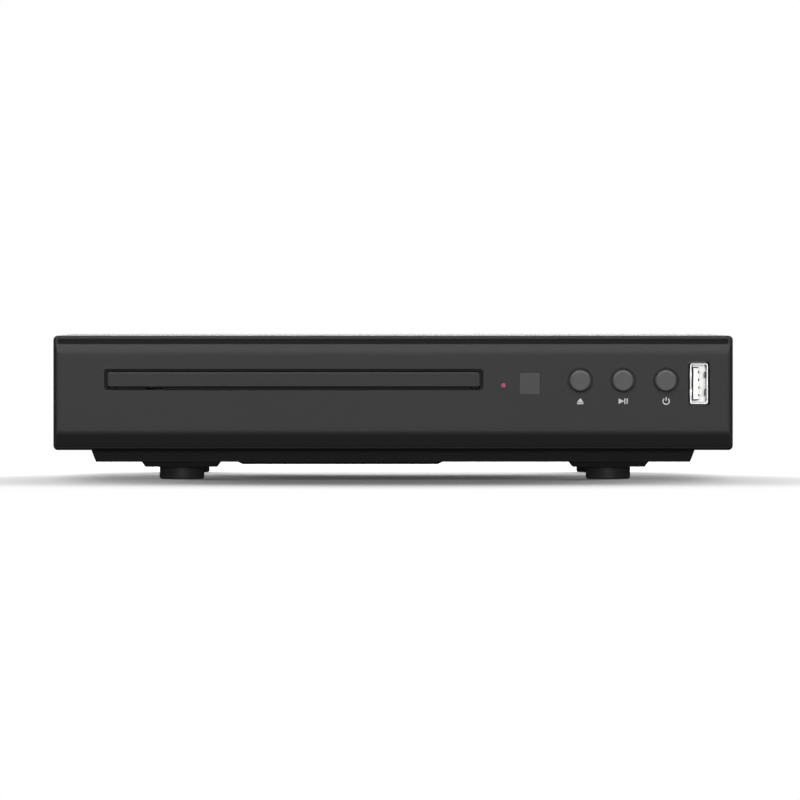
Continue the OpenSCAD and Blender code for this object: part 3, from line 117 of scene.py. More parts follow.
def placeCamera(settings):
    data = bpy.data.cameras.new("playerCamera")
    data.lens = settings["lens"]
    data.sensor_width = settings["sensor"]
    data.clip_end = settings["clipEnd"]
    item = addObject("playerCamera", data)
    item.location = settings["place"]
    item.rotation_euler = lookAt(settings["place"], settings["aim"])
    bpy.context.scene.camera = item


def feed(tree, value, socket):
    # a socket takes another node's output, a colour or a number
    if isinstance(value, bpy.types.NodeSocket):
        tree.links.new(value, socket)
    elif socket.type == "RGBA":
        socket.default_value = (*value, 1)
    else:
        socket.default_value = value


def addNode(tree, kind, **values):
    # values name the node's sockets and its own settings
    node = tree.nodes.new(kind)
    for key, value in values.items():
        if key in node.inputs:
            feed(tree, value, node.inputs[key])
        else:
            setattr(node, key, value)
    return node


def setShader(tree, shader, values):
    for key, value in values.items():
        feed(tree, value, shader.inputs[key])


def calculate(tree, operation, *values, kind="Math", **settings):
    node = addNode(tree, "ShaderNode" + kind, operation=operation, **settings)
    for value, socket in zip(values, node.inputs):
        feed(tree, value, socket)
    return node.outputs["Value"]


def mapRange(tree, source, span, result=(0.0, 1.0), **settings):
    node = addNode(tree, "ShaderNodeMapRange", Value=source, **settings)
    sockets = ("From Min", "From Max", "To Min", "To Max")
    for key, value in zip(sockets, (*span, *result)):
        node.inputs[key].default_value = value
    return node.outputs["Result"]


def blendColours(tree, factor, first, second):
    mix = addNode(tree, "ShaderNodeMix", data_type="RGBA")
    for value, slot in ((factor, 0), (first, 6), (second, 7)):
        feed(tree, value, mix.inputs[slot])
    return mix.outputs[2]


def blendShaders(tree, factor, first, second):
    mix = addNode(tree, "ShaderNodeMixShader", Fac=factor)
    tree.links.new(first, mix.inputs[1])
    tree.links.new(second, mix.inputs[2])
    return mix.outputs["Shader"]


def newMaterial(name):
    material = bpy.data.materials.new(name)
    material.use_nodes = True
    tree = material.node_tree
    spot = tree.nodes.new("ShaderNodeTexCoord").outputs["Object"]
    return material, tree, tree.nodes["Principled BSDF"], spot


def ovalMask(tree, spot, oval):
    # 0 inside an oval on the floor and 1 outside it
    mapping = addNode(tree, "ShaderNodeMapping", Vector=spot, Scale=(1 / oval["stretch"], 1, 1),
                      Location=(0, -oval["middle"], 0))
    away = calculate(tree, "LENGTH", mapping.outputs["Vector"], kind="VectorMath")
    return mapRange(tree, away, (oval["start"], oval["end"]), interpolation_type="SMOOTHSTEP")


def floorFinish(settings):
    # a matt floor that takes the shadow near the player, is painted darker round it as a painted
    # shadow, and runs out into plain white
    material, tree, matt, spot = newMaterial("paleFloor")
    # the floor's colour is painted darker in an oval round the player: a painted shadow
    shade = ovalMask(tree, spot, settings["shade"])
    setShader(tree, matt, {
        "Base Color": blendColours(tree, shade, settings["paintedShadowColour"], settings["floorColour"]),
        "Roughness": settings["floorRoughness"],
        "Specular IOR Level": 0.0,
        "Emission Color": (1, 1, 1),
        "Emission Strength": settings["floorGlow"],
    })
    fade = ovalMask(tree, spot, settings["fade"])
    white = addNode(tree, "ShaderNodeEmission", Color=settings["backdrop"])
    surface = blendShaders(tree, fade, matt.outputs["BSDF"], white.outputs["Emission"])
    tree.links.new(surface, tree.nodes["Material Output"].inputs["Surface"])
    return material


def layFloor(settings):
    half = settings["floorSize"] / 2
    corners = [(-half, -half, 0), (half, -half, 0), (half, half, 0), (-half, half, 0)]
    mesh = bpy.data.meshes.new("studioFloor")
    mesh.from_pydata(corners, [], [(0, 1, 2, 3)])
    mesh.materials.append(floorFinish(settings))
    floor = addObject("studioFloor", mesh)
    floor.visible_diffuse = False   # the floor takes the shadow and throws no light back
    floor.visible_glossy = False
    floor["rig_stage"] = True
    return floor


def paintSky(settings):
    # plain white behind the player, and a soft sky that is dimmer below than above
    world = bpy.data.worlds.new("studioWorld")
    bpy.context.scene.world = world
    world.use_nodes = True
    tree = world.node_tree
    tree.nodes.clear()
    around = tree.nodes.new("ShaderNodeTexCoord").outputs["Generated"]
    split = addNode(tree, "ShaderNodeSeparateXYZ", Vector=around)
    level = mapRange(tree, split.outputs["Z"], settings["skyTurn"],
                     (settings["skyBelow"], settings["skyAbove"]), interpolation_type="SMOOTHSTEP")
    ambient = addNode(tree, "ShaderNodeBackground", Strength=level)
    backdrop = addNode(tree, "ShaderNodeBackground", Color=settings["backdrop"])
    direct = tree.nodes.new("ShaderNodeLightPath").outputs["Is Camera Ray"]
    sky = blendShaders(tree, direct, ambient.outputs["Background"], backdrop.outputs["Background"])
    addNode(tree, "ShaderNodeOutputWorld", Surface=sky)


def hangBoxes(boxes, receivers):
    for name, box in boxes.items():
        data = bpy.data.lights.new(name, "AREA")
        data.shape = "RECTANGLE"
        data.size, data.size_y = box["size"]
        data.energy = box["watts"]
        lamp = addObject(name, data)
        lamp.location = box["place"]
        lamp.rotation_euler = lookAt(box["place"], box.get("aim", (0, 0, 0)))
        lamp.visible_camera = False
        lamp.light_linking.receiver_collection = receivers[box["lights"]]


lightGroups = {}
for name in ("floor", "player", "socket"):
    lightGroups[name] = bpy.data.collections.new(name + "Lit")
placeCamera(camera)
lightGroups["floor"].objects.link(layFloor(studio))
paintSky(studio)
bpy.context.scene.view_settings.view_transform = "Standard"
print("camera, floor and sky stand")


# finishes: every one starts from the plain values and names only what differs

plainFinish = {
    "colour": (0.05, 0.05, 0.05),
    "colourSpread": 0.08,     # how much lighter and darker the patches are
    "patch": 9.0,             # size of the patches, mm
    "roughness": 0.5,
    "roughnessSpread": 0.06,
    "grain": 0.35,            # size of the surface grain, mm
    "grainDepth": 0.012,      # mm
    "stretch": (1, 1, 1),     # over 1 draws the grain out across that axis
    "metal": 0.0,
    "edge": 0.2,              # radius that edges are rounded by in shading, also the width of their painted highlight, mm
    "edgeHighlightTone": 1.25,         # brightness of the painted highlight along edges
    "shine": 0.5,             # specular level
    "coat": 0.0,
    "coatRoughness": 0.08,
    "clear": 0.0,             # how much light passes
    "glow": None,             # colour and strength
    "paintedShadeStrips": (),             # painted shade: axis, start and end in mm, and the tone the finish is painted between them
}

noiseSpan = (0.3, 0.7)        # most of a noise lies between these
edgeHighlightSpan = (0.99, 0.85)       # how nearly the rounded normal agrees where the painted edge highlight starts and is full

finishLooks = {
    "coverPaint": dict(colour=(0.028, 0.028, 0.029), roughness=0.42, grain=0.5, grainDepth=0.02,
                       edge=0.3),
    "panelPlastic": dict(colour=(0.043, 0.0423, 0.0443), roughness=0.6, grain=0.3, grainDepth=0.008,
                         colourSpread=0.05, patch=30, shine=0.35, edgeHighlightTone=1.15,
                         # painted shade: darker strips on the panel's sides, its lower edge and
                         # chin, and two bands near its top
                         paintedShadeStrips=(("X", 111.55, 114, 0.3), ("Z", 0, 11.3, 0.4), ("Z", 0, 10.9, 0.08),
                                 ("Z", 44.8, 45.2, 0.75), ("Z", 47.2, 50, 0.6))),
    "trayFrontPlastic": dict(colour=(0.0435, 0.0427, 0.045), roughness=0.58, grain=0.3, patch=30,
                             grainDepth=0.008, colourSpread=0.05, shine=0.35, edgeHighlightTone=1.15),
    # the lip's plastic is painted lighter than the panel's: painted light in the dim gap behind the
    # tray slot
    "lipPlasticPaintedLight": dict(colour=(0.088, 0.087, 0.09), roughness=0.7, shine=0.2),
    "shellPlastic": dict(colour=(0.041, 0.039, 0.042), roughness=0.55, grain=0.45, grainDepth=0.02),
    "footRubber": dict(colour=(0.056, 0.054, 0.058), roughness=0.56, grain=0.5, grainDepth=0.008),
    "screwBlack": dict(colour=(0.07, 0.07, 0.075), roughness=0.35, metal=1.0, grain=0.2),
    "trayPlastic": dict(colour=(0.04, 0.0395, 0.041), roughness=0.52, edge=0.3),
    "buttonPlastic": dict(colour=(0.092, 0.092, 0.094), roughness=0.45, grain=0.3, grainDepth=0.006,
                          edge=0.35, edgeHighlightTone=1.5),
    "ivoryPlastic": dict(colour=(0.6, 0.57, 0.48), roughness=0.4, colourSpread=0.04),
    "smokedWindow": dict(colour=(0.044, 0.044, 0.046), roughness=0.4, roughnessSpread=0.01,
                         grainDepth=0.0005, colourSpread=0.02, patch=20, edge=0.1, edgeHighlightTone=1.0),
    "redLamp": dict(colour=(0.3, 0.02, 0.08), roughness=0.3, glow=((0.8, 0.05, 0.25), 0.08)),
    "blackMoulding": dict(colour=(0.016, 0.016, 0.017), roughness=0.45),
    "brightShell": dict(colour=(0.78, 0.79, 0.81), roughness=0.24, metal=1.0, grain=0.15,
                        grainDepth=0.003, edge=0.12, edgeHighlightTone=1.1),
    "socketShell": dict(colour=(0.66, 0.665, 0.68), roughness=0.6, metal=0.5, grain=0.15,
                        grainDepth=0.003, edge=0.1, edgeHighlightTone=1.0),
    "springSteel": dict(colour=(0.4, 0.4, 0.42), roughness=0.4, metal=1.0, grain=0.15,
                        grainDepth=0.003, edge=0.1),
    "whiteNylon": dict(colour=(0.84, 0.84, 0.82), roughness=0.4, colourSpread=0.03),
    "goldFlash": dict(colour=(0.85, 0.6, 0.25), roughness=0.25, metal=1.0, edgeHighlightTone=1.1),
    "loaderPlastic": dict(colour=(0.5, 0.48, 0.42), colourSpread=0.04, edgeHighlightTone=1.12),
    "acetal": dict(colour=(0.76, 0.74, 0.67), roughness=0.35, colourSpread=0.03, edgeHighlightTone=1.1),
    "beltRubber": dict(colour=(0.012, 0.012, 0.012), roughness=0.7, grain=0.2),
    "platedSteel": dict(colour=(0.56, 0.57, 0.59), roughness=0.32, metal=1.0, grain=0.4,
                        grainDepth=0.006, stretch=(1, 8, 1), edgeHighlightTone=1.15),
    "groundSteel": dict(colour=(0.7, 0.71, 0.73), roughness=0.16, metal=1.0, grain=0.2,
                        roughnessSpread=0.04, grainDepth=0.002, stretch=(1, 12, 1)),
    "lensGlass": dict(colour=(0.22, 0.3, 0.62), roughness=0.08, roughnessSpread=0.02, coat=1.0,
                      clear=0.5, grainDepth=0.0005),
    "castSled": dict(colour=(0.3, 0.31, 0.33), roughness=0.45, metal=1.0, grain=0.8,
                     grainDepth=0.03),
    "ferrite": dict(colour=(0.03, 0.028, 0.028), roughness=0.55, grain=0.5, grainDepth=0.03),
    "markInk": dict(colour=(0.72, 0.72, 0.72), roughness=0.5, colourSpread=0.04, grain=0.12,
                    grainDepth=0.004),
    "copperWire": dict(colour=(0.72, 0.3, 0.12), roughness=0.3, metal=1.0, grain=0.15),
    "tinnedMetal": dict(colour=(0.66, 0.66, 0.64), roughness=0.35, metal=1.0, grain=0.1,
                        grainDepth=0.004),
    "resistorBlack": dict(colour=(0.02, 0.02, 0.022), roughness=0.3, grain=0.1),
    "ceramicTan": dict(colour=(0.42, 0.28, 0.15), roughness=0.4, grain=0.1),
    "sleeveFilm": dict(colour=(0.012, 0.016, 0.045), roughness=0.22, coat=0.4, grain=0.6),
    "ventAluminium": dict(colour=(0.72, 0.73, 0.74), roughness=0.3, metal=1.0, grain=0.1),
    "socketIvory": dict(colour=(0.7, 0.67, 0.56), roughness=0.45, colourSpread=0.03),
    "flexAmber": dict(colour=(0.4, 0.17, 0.03), roughness=0.25, coat=0.5, grain=0.3,
                      grainDepth=0.003),
    "phonoYellow": dict(colour=(0.75, 0.5, 0.03), roughness=0.35),
    "phonoWhite": dict(colour=(0.8, 0.8, 0.78), roughness=0.35, colourSpread=0.03),
    "phonoRed": dict(colour=(0.55, 0.02, 0.02), roughness=0.35),
    "magnetGrey": dict(colour=(0.2, 0.2, 0.21), roughness=0.4, metal=1.0, grain=0.3),
}

boardLook = {
    "patches": 130.0,         # patches of tracks in a metre
    "tracks": 290.0,          # bands in a metre
    "covered": 0.62,          # share of the patches that have tracks
    "mask": (0.012, 0.07, 0.03),
    "maskOverTracks": (0.03, 0.16, 0.06),
    "trackDepth": 0.04,       # mm
    "bump": 0.6,
    "roughness": 0.3,
    "coat": 0.3,
}


def tone(colour, amount):
    return tuple(min(1.0, c * amount) for c in colour)


def noiseAt(tree, spot, size, stretch=(1, 1, 1)):
    mapping = addNode(tree, "ShaderNodeMapping", Vector=spot, Scale=stretch)
    noise = addNode(tree, "ShaderNodeTexNoise", Vector=mapping.outputs["Vector"],
                    Scale=1 / (size * mm), Detail=3)
    return noise.outputs["Fac"]


def edgeHighlightMask(tree, rounded):
    surface = tree.nodes.new("ShaderNodeNewGeometry").outputs["Normal"]
    agreement = calculate(tree, "DOT_PRODUCT", rounded, surface, kind="VectorMath")
    return mapRange(tree, agreement, edgeHighlightSpan)


def stripMask(tree, spot, axis, start, end):
    # 1 where the distance from the player's middle plane lies between start and end
    split = addNode(tree, "ShaderNodeSeparateXYZ", Vector=spot)
    away = calculate(tree, "ABSOLUTE", split.outputs[axis])
    offset = calculate(tree, "SUBTRACT", away, (start + end) / 2 * mm)
    distance = calculate(tree, "ABSOLUTE", offset)
    return calculate(tree, "LESS_THAN", distance, (end - start) / 2 * mm)


def makeFinish(name, changes):
    look = {**plainFinish, **changes}
    material, tree, shader, spot = newMaterial(name)
    fine = noiseAt(tree, spot, look["grain"], look["stretch"])
    bevel = addNode(tree, "ShaderNodeBevel", samples=4, Radius=look["edge"] * mm)
    rounded = bevel.outputs["Normal"]
    colour, change = look["colour"], look["colourSpread"]
    base = blendColours(tree, noiseAt(tree, spot, look["patch"]),
                        tone(colour, 1 - change), tone(colour, 1 + change))
    # edges found by the rounded normal are painted lighter: a painted highlight
    base = blendColours(tree, edgeHighlightMask(tree, rounded), base, tone(colour, look["edgeHighlightTone"]))
    # strips of the finish painted darker by their tone: painted shade
    for axis, start, end, change in look["paintedShadeStrips"]:
        paintedShadeStrip = stripMask(tree, spot, axis, start, end)
        base = blendColours(tree, paintedShadeStrip, base, tone(colour, change))
    bump = addNode(tree, "ShaderNodeBump", Strength=1.0, Distance=look["grainDepth"] * mm,
                   Height=fine, Normal=rounded)
    rough, change = look["roughness"], look["roughnessSpread"]
    setShader(tree, shader, {
        "Base Color": base,
        "Roughness": mapRange(tree, fine, noiseSpan, (rough - change, rough + change)),
        "Normal": bump.outputs["Normal"],
        "Metallic": look["metal"],
        "Specular IOR Level": look["shine"],
        "Coat Weight": look["coat"],
        "Coat Roughness": look["coatRoughness"],
        "Transmission Weight": look["clear"],
    })
    if look["glow"]:
        setShader(tree, shader, dict(zip(("Emission Color", "Emission Strength"), look["glow"])))
    return material


def makeBoardFinish(look):
    # green solder mask with bundles of tracks that run one way in each patch
    material, tree, shader, spot = newMaterial("circuitBoard")
    cells = addNode(tree, "ShaderNodeTexVoronoi", distance="MANHATTAN", Vector=spot,
                    Scale=look["patches"])
    patch = addNode(tree, "ShaderNodeSeparateColor", Color=cells.outputs["Color"]).outputs
    choose = tree.nodes.new("ShaderNodeMix")
    tree.links.new(calculate(tree, "GREATER_THAN", patch["Red"], 0.5), choose.inputs[0])
    for direction, slot in (("X", 2), ("Y", 3)):
        wave = addNode(tree, "ShaderNodeTexWave", bands_direction=direction, Vector=spot,
                       Scale=look["tracks"])
        stripes = mapRange(tree, wave.outputs["Fac"], noiseSpan, (-1.0, 2.0))
        tree.links.new(stripes, choose.inputs[slot])
    covered = calculate(tree, "LESS_THAN", patch["Green"], look["covered"])
    tracks = calculate(tree, "MULTIPLY", choose.outputs[0], covered, use_clamp=True)
    bump = addNode(tree, "ShaderNodeBump", Strength=look["bump"], Distance=look["trackDepth"] * mm,
                   Height=tracks)
    setShader(tree, shader, {
        "Base Color": blendColours(tree, tracks, look["mask"], look["maskOverTracks"]),
        "Normal": bump.outputs["Normal"],
        "Roughness": look["roughness"],
        "Coat Weight": look["coat"],
    })
    return material


finishes = {name: makeFinish(name, changes) for name, changes in finishLooks.items()}
finishes["circuitBoard"] = makeBoardFinish(boardLook)

# which solids wear each finish
wears = {
    "coverPaint": ["top_cover", "rear_panel"],
    "panelPlastic": ["front_panel"],
    "trayFrontPlastic": ["tray_front"],
    "shellPlastic": ["bottom_shell"],
    "footRubber": ["foot_front_left", "foot_front_right", "foot_rear_left", "foot_rear_right"],
    "screwBlack": ["cover_screws", "loader_screws", "board_screws"],
    "trayPlastic": ["disc_tray"],
    "buttonPlastic": ["eject_button", "play_button", "power_button"],
    "ivoryPlastic": ["eject_plunger", "play_plunger", "power_plunger"],
    "smokedWindow": ["ir_window"],
    "redLamp": ["led_pipe", "led"],
    "circuitBoard": ["key_board", "main_board"],
    "blackMoulding": ["button_guide", "key_switches", "ir_receiver", "tray_switch", "chips",
                      "capacitors", "jack_block", "dc_inlet", "lift_frame", "turntable"],
    "brightShell": ["hdmi_socket"],
    "socketShell": ["usb_shell"],
    "whiteNylon": ["usb_tongue"],
    "goldFlash": ["usb_contacts", "jack_barrels"],
    "loaderPlastic": ["loader_frame", "clamp_bridge"],
    "acetal": ["clamper", "drive_gear", "pulley_gear", "motor_pulley", "cam_slider"],
    "beltRubber": ["drive_belt", "dampers", "turntable_pad"],
    "platedSteel": ["clamp_magnet", "loading_motor", "pickup_chassis", "spindle_motor",
                    "sled_motor"],
    "groundSteel": ["guide_rods", "lead_screw"],
    "lensGlass": ["objective_lens"],
    "castSled": ["pickup_sled"],
    "ferrite": ["power_parts"],
}

for finish, members in wears.items():
    for member in members:
        mesh = nodes[member].data
        mesh.materials.clear()
        mesh.materials.append(finishes[finish])
print("finishes:", len(finishes))


# making pieces: every shape is a list of points in millimetres and a list of faces

def boundsOf(spots):
    return tuple(Vector([pick(spot[i] for spot in spots) for i in range(3)]) for pick in (min, max))


def boxOf(node):
    low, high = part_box(node)
    return low / mm, high / mm


def islandsOf(node):
    # the boxes of a solid's separate lumps, from left to right
    form = bmesh.new()
    form.from_mesh(nodes[node].data)
    bmesh.ops.remove_doubles(form, verts=form.verts, dist=1e-6)
    left, boxes = set(form.verts), []
    while left:
        ring = [left.pop()]
        lump = set(ring)
        while ring:
            for edge in ring.pop().link_edges:
                ring += [vert for vert in edge.verts if vert not in lump]
                lump.update(edge.verts)
        left -= lump
        boxes.append(boundsOf([vert.co / mm for vert in lump]))
    form.free()
    return sorted(boxes, key=lambda box: [round(value, 1) for value in box[0]])


def shift(x, y, z):
    return Matrix.Translation((x, y, z))


def moved(shape, matrix):
    return [matrix @ Vector(p) for p in shape[0]], shape[1]


def joined(shapes):
    points, faces = [], []
    for shape in shapes:
        start = len(points)
        points += shape[0]
        faces += [tuple(i + start for i in face) for face in shape[1]]
    return points, faces


def chamferedBlock(low, high, cut=0.1):
    # a block with all edges and corners cut: each corner has a point for every axis
    points, index = [], {}
    for corner in product((0, 1), repeat=3):
        for axis in range(3):
            index[(*corner, axis)] = len(points)
            points.append(Vector([(low, high)[side][i] + (0 if i == axis else cut - 2 * cut * side)
                                  for i, side in enumerate(corner)]))

    def pointAt(axis, side, first, second, turn):
        corner = [side, first, second][-axis:] + [side, first, second][:-axis]
        return index[(*corner, (axis + turn) % 3)]

    faces = []
    for axis in range(3):
        for side in (0, 1):
            ring = [pointAt(axis, side, *pair, 0) for pair in ((0, 0), (1, 0), (1, 1), (0, 1))]
            faces.append(tuple(ring if side else ring[::-1]))
        for pair in product((0, 1), repeat=2):
            ring = [pointAt(axis, side, *pair, turn)
                    for side, turn in ((0, 1), (1, 1), (1, 2), (0, 2))]
            faces.append(tuple(ring if sum(pair) == 1 else ring[::-1]))
    for corner in product((0, 1), repeat=3):
        ring = [index[(*corner, axis)] for axis in range(3)]
        faces.append(tuple(ring if sum(corner) % 2 else ring[::-1]))
    return points, faces


def skin(rings, ends="capped", flip=False):
    # faces between rings of equally many points; the ends are capped, open or joined
    count, points, faces = len(rings[0]), [p for ring in rings for p in ring], []
    for i in range(len(rings) if ends == "joined" else len(rings) - 1):
        a, b = i * count, (i + 1) % len(rings) * count
        for k in range(count):
            n = (k + 1) % count
            faces.append((a + k, b + k, b + n, a + n) if flip else (a + k, a + n, b + n, b + k))
    if ends == "capped":
        faces.append(tuple(range(count))[::-1])
        faces.append(tuple(range(len(points) - count, len(points))))
    return points, faces


def prism(outline, low, high, ends="capped"):
    # an outline in X and Y drawn up from low to high
    return skin([[Vector((x, y, z)) for x, y in outline] for z in (low, high)], ends)


def band(first, second, low, high):
    # a strip between two lines in X and Y, drawn up from low to high
    points, faces = prism(first + second[::-1], low, high, "open")
    rows = 2 * len(first)
    for i in range(len(first) - 1):
        quad = (rows - 1 - i, rows - 2 - i, i + 1, i)
        faces += [quad, tuple(k + rows for k in quad[::-1])]
    return points, faces


def leaf(path, thickness, low, high):
    # a bent strip: a path in X and Y, given a thickness and drawn up from low to high
    path = [Vector(p) for p in path]
    left, right = [], []
    for i, spot in enumerate(path):
        along = (path[min(i + 1, len(path) - 1)] - path[max(i - 1, 0)]).normalized()
        across = Vector((-along.y, along.x)) * thickness / 2
        left.append(spot + across)
        right.append(spot - across)
    return band(right, left, low, high)


def circle(radius, height, sides):
    angles = [2 * math.pi * i / sides for i in range(sides)]
    return [Vector((radius * math.cos(a), radius * math.sin(a), height)) for a in angles]


def turned(profile, sides=28):
    # a solid of revolution about Z; the profile runs from the axis round to the axis
    points, rows, faces = [], [], []
    for radius, height in profile:
        ring = [Vector((0, 0, height))] if radius < 1e-6 else circle(radius, height, sides)
        rows.append(range(len(points), len(points) + len(ring)))
        points += ring
    for lower, upper in zip(rows, rows[1:]):
        for i in range(sides):
            n = (i + 1) % sides
            if len(lower) == 1:
                faces.append((lower[0], upper[n], upper[i]))
            elif len(upper) == 1:
                faces.append((lower[i], lower[n], upper[0]))
            else:
                faces.append((lower[i], lower[n], upper[n], upper[i]))
    return points, faces


def cutRing(inner, outer, low, high, cut, sides):
    # a ring about Z whose upper edges are cut across and down
    across, down = cut
    profile = [(inner, low), (outer, low), (outer, high - down), (outer - across, high),
               (inner + across, high), (inner, high - down)]
    angles = [2 * math.pi * i / sides for i in range(sides)]
    rings = [[Vector((r * math.cos(a), r * math.sin(a), z)) for r, z in profile] for a in angles]
    return skin(rings, "joined", flip=True)


def wire(path, radius, sides):
    # a round wire along a path, with flat ends
    path, side, rings = [Vector(p) for p in path], None, []
    for i, spot in enumerate(path):
        along = (path[min(i + 1, len(path) - 1)] - path[max(i - 1, 0)]).normalized()
        side = side or along.orthogonal().normalized()
        side = (side - along * side.dot(along)).normalized()
        up = along.cross(side)
        angles = [2 * math.pi * k / sides for k in range(sides)]
        rings.append([spot + (side * math.cos(a) + up * math.sin(a)) * radius for a in angles])
    return skin(rings)


def threadedRod(low, high, core, crest, pitch, sides=24, ringsPerTurn=6):
    # a rod about Z with a vee thread that runs out at both ends
    steps = int((high - low) / pitch * ringsPerTurn)
    rings = []
    for i in range(steps + 1):
        height = low + (high - low) * i / steps
        fade = min(1, (height - low) / pitch, (high - height) / pitch)
        ring = []
        for k in range(sides):
            phase = (height / pitch - k / sides) % 1
            radius = core + (crest - core) * (1 - abs(2 * phase - 1)) * fade
            angle = 2 * math.pi * k / sides
            ring.append(Vector((radius * math.cos(angle), radius * math.sin(angle), height)))
        rings.append(ring)
    return skin(rings)


smoothUnder = math.radians(35)   # edges that turn less than this are shaded smooth


def makePiece(name, parts, body, replaced=()):
    # parts: finish name and shape, several of them for a piece of several finishes
    mesh = bpy.data.meshes.new(name)
    kinds = list(dict.fromkeys(finish for finish, shape in parts))
    for finish in kinds:
        mesh.materials.append(finishes[finish])
    points, faces = joined([shape for finish, shape in parts])
    slots = [kinds.index(finish) for finish, shape in parts for _ in shape[1]]
    mesh.from_pydata([[value * mm for value in p] for p in points], [], faces)
    mesh.polygons.foreach_set("material_index", slots)
    mesh.shade_smooth()
    mesh.set_sharp_from_angle(angle=smoothUnder)
    mesh.update()
    piece = addObject(name, mesh)
    if replaced:
        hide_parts(*replaced)
    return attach(piece, body)


facingBack = Matrix.Rotation(math.radians(-90), 4, "X")   # turns Z to point to the back
facingFront = Matrix.Rotation(math.radians(90), 4, "X")   # turns Z to point to the front

# Parts of the traverse are drawn level and then lowered to where they rest.
hinge = Vector(joints["traverse_lift"]["pos_m"]) / mm
liftAngle = math.radians(joints["traverse_lift"]["range_deg"][1])
lowered = shift(*hinge) @ Matrix.Rotation(liftAngle, 4, "X") @ shift(*-hinge)
level = lowered.inverted()


def levelBounds(node):
    return boundsOf([level @ (vert.co / mm) for vert in nodes[node].data.vertices])


def levelJoint(name):
    return level @ (Vector(joints[name]["pos_m"]) / mm)


face = boxOf("tray_front")[0].y


# marks below the buttons

marks = {
    "below": 6.65,            # from a button's centre down to its mark's, mm
    "stroke": 0.38,
    "height": (-0.05, 0.05),  # from the face
    "ejectSize": (2.1, 2.0),
    "ejectBar": 1.2,          # height of the bar, in strokes
    "ejectGap": 0.16,
    "playSize": (3.05, 1.85),
    "powerRadius": 1.03,
    "powerArc": (128, 412),   # degrees
    "powerStem": (0.1, 0.75),  # where the stem starts, and how many strokes it passes the arc
}


def oblong(left, low, right, high):
    return [(left, low), (right, low), (right, high), (left, high)]


def arcBand(radius, stroke, start, end, low, high, steps=20):
    angles = [math.radians(start + (end - start) * i / steps) for i in range(steps + 1)]
    outer, inner = ([(r * math.cos(a), r * math.sin(a)) for a in angles]
                    for r in (radius + stroke / 2, radius - stroke / 2))
    return band(outer, inner, low, high)


def makeMarks(look):
    stroke, height = look["stroke"], look["height"]
    wide, tall = (size / 2 for size in look["ejectSize"])
    bar = -tall + stroke * look["ejectBar"]
    foot = bar + look["ejectGap"]
    eject = [prism([(-wide, foot), (wide, foot), (0, tall)], *height),
             prism(oblong(-wide, -tall, wide, bar), *height)]
    wide, tall = (size / 2 for size in look["playSize"])
    play = [prism([(-wide, -tall), (wide - 3.1 * stroke, 0), (-wide, tall)], *height)]
    for right in (wide, wide - 2.1 * stroke):
        play.append(prism(oblong(right - stroke, -tall, right, tall), *height))
    radius, (start, past) = look["powerRadius"], look["powerStem"]
    power = [arcBand(radius, stroke, *look["powerArc"], *height),
             prism(oblong(-stroke / 2, start, stroke / 2, radius + stroke * past), *height)]
    for name, shapes in (("eject", eject), ("play", play), ("power", power)):
        low, high = boxOf(name + "_button")
        x, y, z = (low + high) / 2
        place = shift(x, face, z - look["below"]) @ facingFront
        makePiece(name + "Mark", [("markInk", moved(joined(shapes), place))], "base")


makeMarks(marks)
print("marks drawn")


# the dark lip that closes the gap behind the tray slot, and the end of the tray's rack in it

slotLip = {
    "front": 2.9,             # depths behind the face, mm
    "wall": 2.42,
    "rear": 4.3,
    "slotGap": 1.05,          # between the tray's bar and the lip's outer edge
    "clearance": 0.33,        # left round the tray
    "overlap": 1.6,           # how far the lip reaches behind the panel
    "corner": 1.0,
    "innerCorner": 0.4,
    "rail": 2.5,              # width of the rails under the tray's edges
    "rack": (12.55, 17.3),    # the rack under the tray, from the tray's left edge
    "deckUnder": 3.7,         # from the tray's top down to the underside of its deck
    "rackFrom": 7.6,          # depth behind the face where the solid rack begins
}


def roundedLoop(middle, half, low, high, corner, depth, steps=5):
    left, right = middle - half + corner, middle + half - corner
    bottom, top = low + corner, high - corner
    loop = []
    for x, z, start in ((right, bottom, -90), (right, top, 0),
                        (left, top, 90), (left, bottom, 180)):
        for i in range(steps + 1):
            angle = math.radians(start + 90 * i / steps)
            loop.append(Vector((x + corner * math.cos(angle), depth, z + corner * math.sin(angle))))
    return loop


def makeSlotLip(look):
    trayLow, trayHigh = boxOf("disc_tray")
    barLow, barHigh = boxOf("tray_front")
    gap, slotGap, over, corner = (
        look[key] for key in ("clearance", "slotGap", "overlap", "corner"))
    front, wall, rear = (face + look[key] for key in ("front", "wall", "rear"))
    middle, low = (barLow.x + barHigh.x) / 2, trayLow.z - gap
    inner = ((trayHigh.x - trayLow.x) / 2 + gap, low, trayHigh.z + gap, look["innerCorner"])
    slot = ((barHigh.x - barLow.x) / 2 + slotGap, barLow.z - slotGap, barHigh.z + slotGap, corner)
    flange = (slot[0] + over, slot[1] - over, slot[2] + over, corner + over)
    rings = [roundedLoop(middle, *edge, depth) for edge, depth in (
        (inner, front), (slot, front), (slot, wall), (flange, wall), (flange, rear), (inner, rear))]
    shapes = [("lipPlasticPaintedLight", skin(rings, "joined"))]
    # the lip's lower edge fills the space between the tray's rails and its rack
    rackStart, rackEnd = (trayLow.x + offset for offset in look["rack"])
    railStart, railEnd = trayLow.x + look["rail"], trayHigh.x - look["rail"]
    deck = trayHigh.z - look["deckUnder"]
    for start, end in ((railStart, rackStart), (rackEnd, railEnd)):
        shapes.append(("lipPlasticPaintedLight", chamferedBlock((start + gap, front + 0.05, low - 0.4),
                                                    (end - gap, rear - 0.05, deck - gap))))
    makePiece("slotLip", shapes, "base")
    rack = chamferedBlock((rackStart + 0.1, barHigh.y - 0.05, trayLow.z + 0.05),
                          (rackEnd - 0.1, face + look["rackFrom"], deck + 0.2), 0.15)
    makePiece("rackEnd", [("trayPlastic", rack)], "tray")


makeSlotLip(slotLip)
print("slot lip and rack end set")


# screws

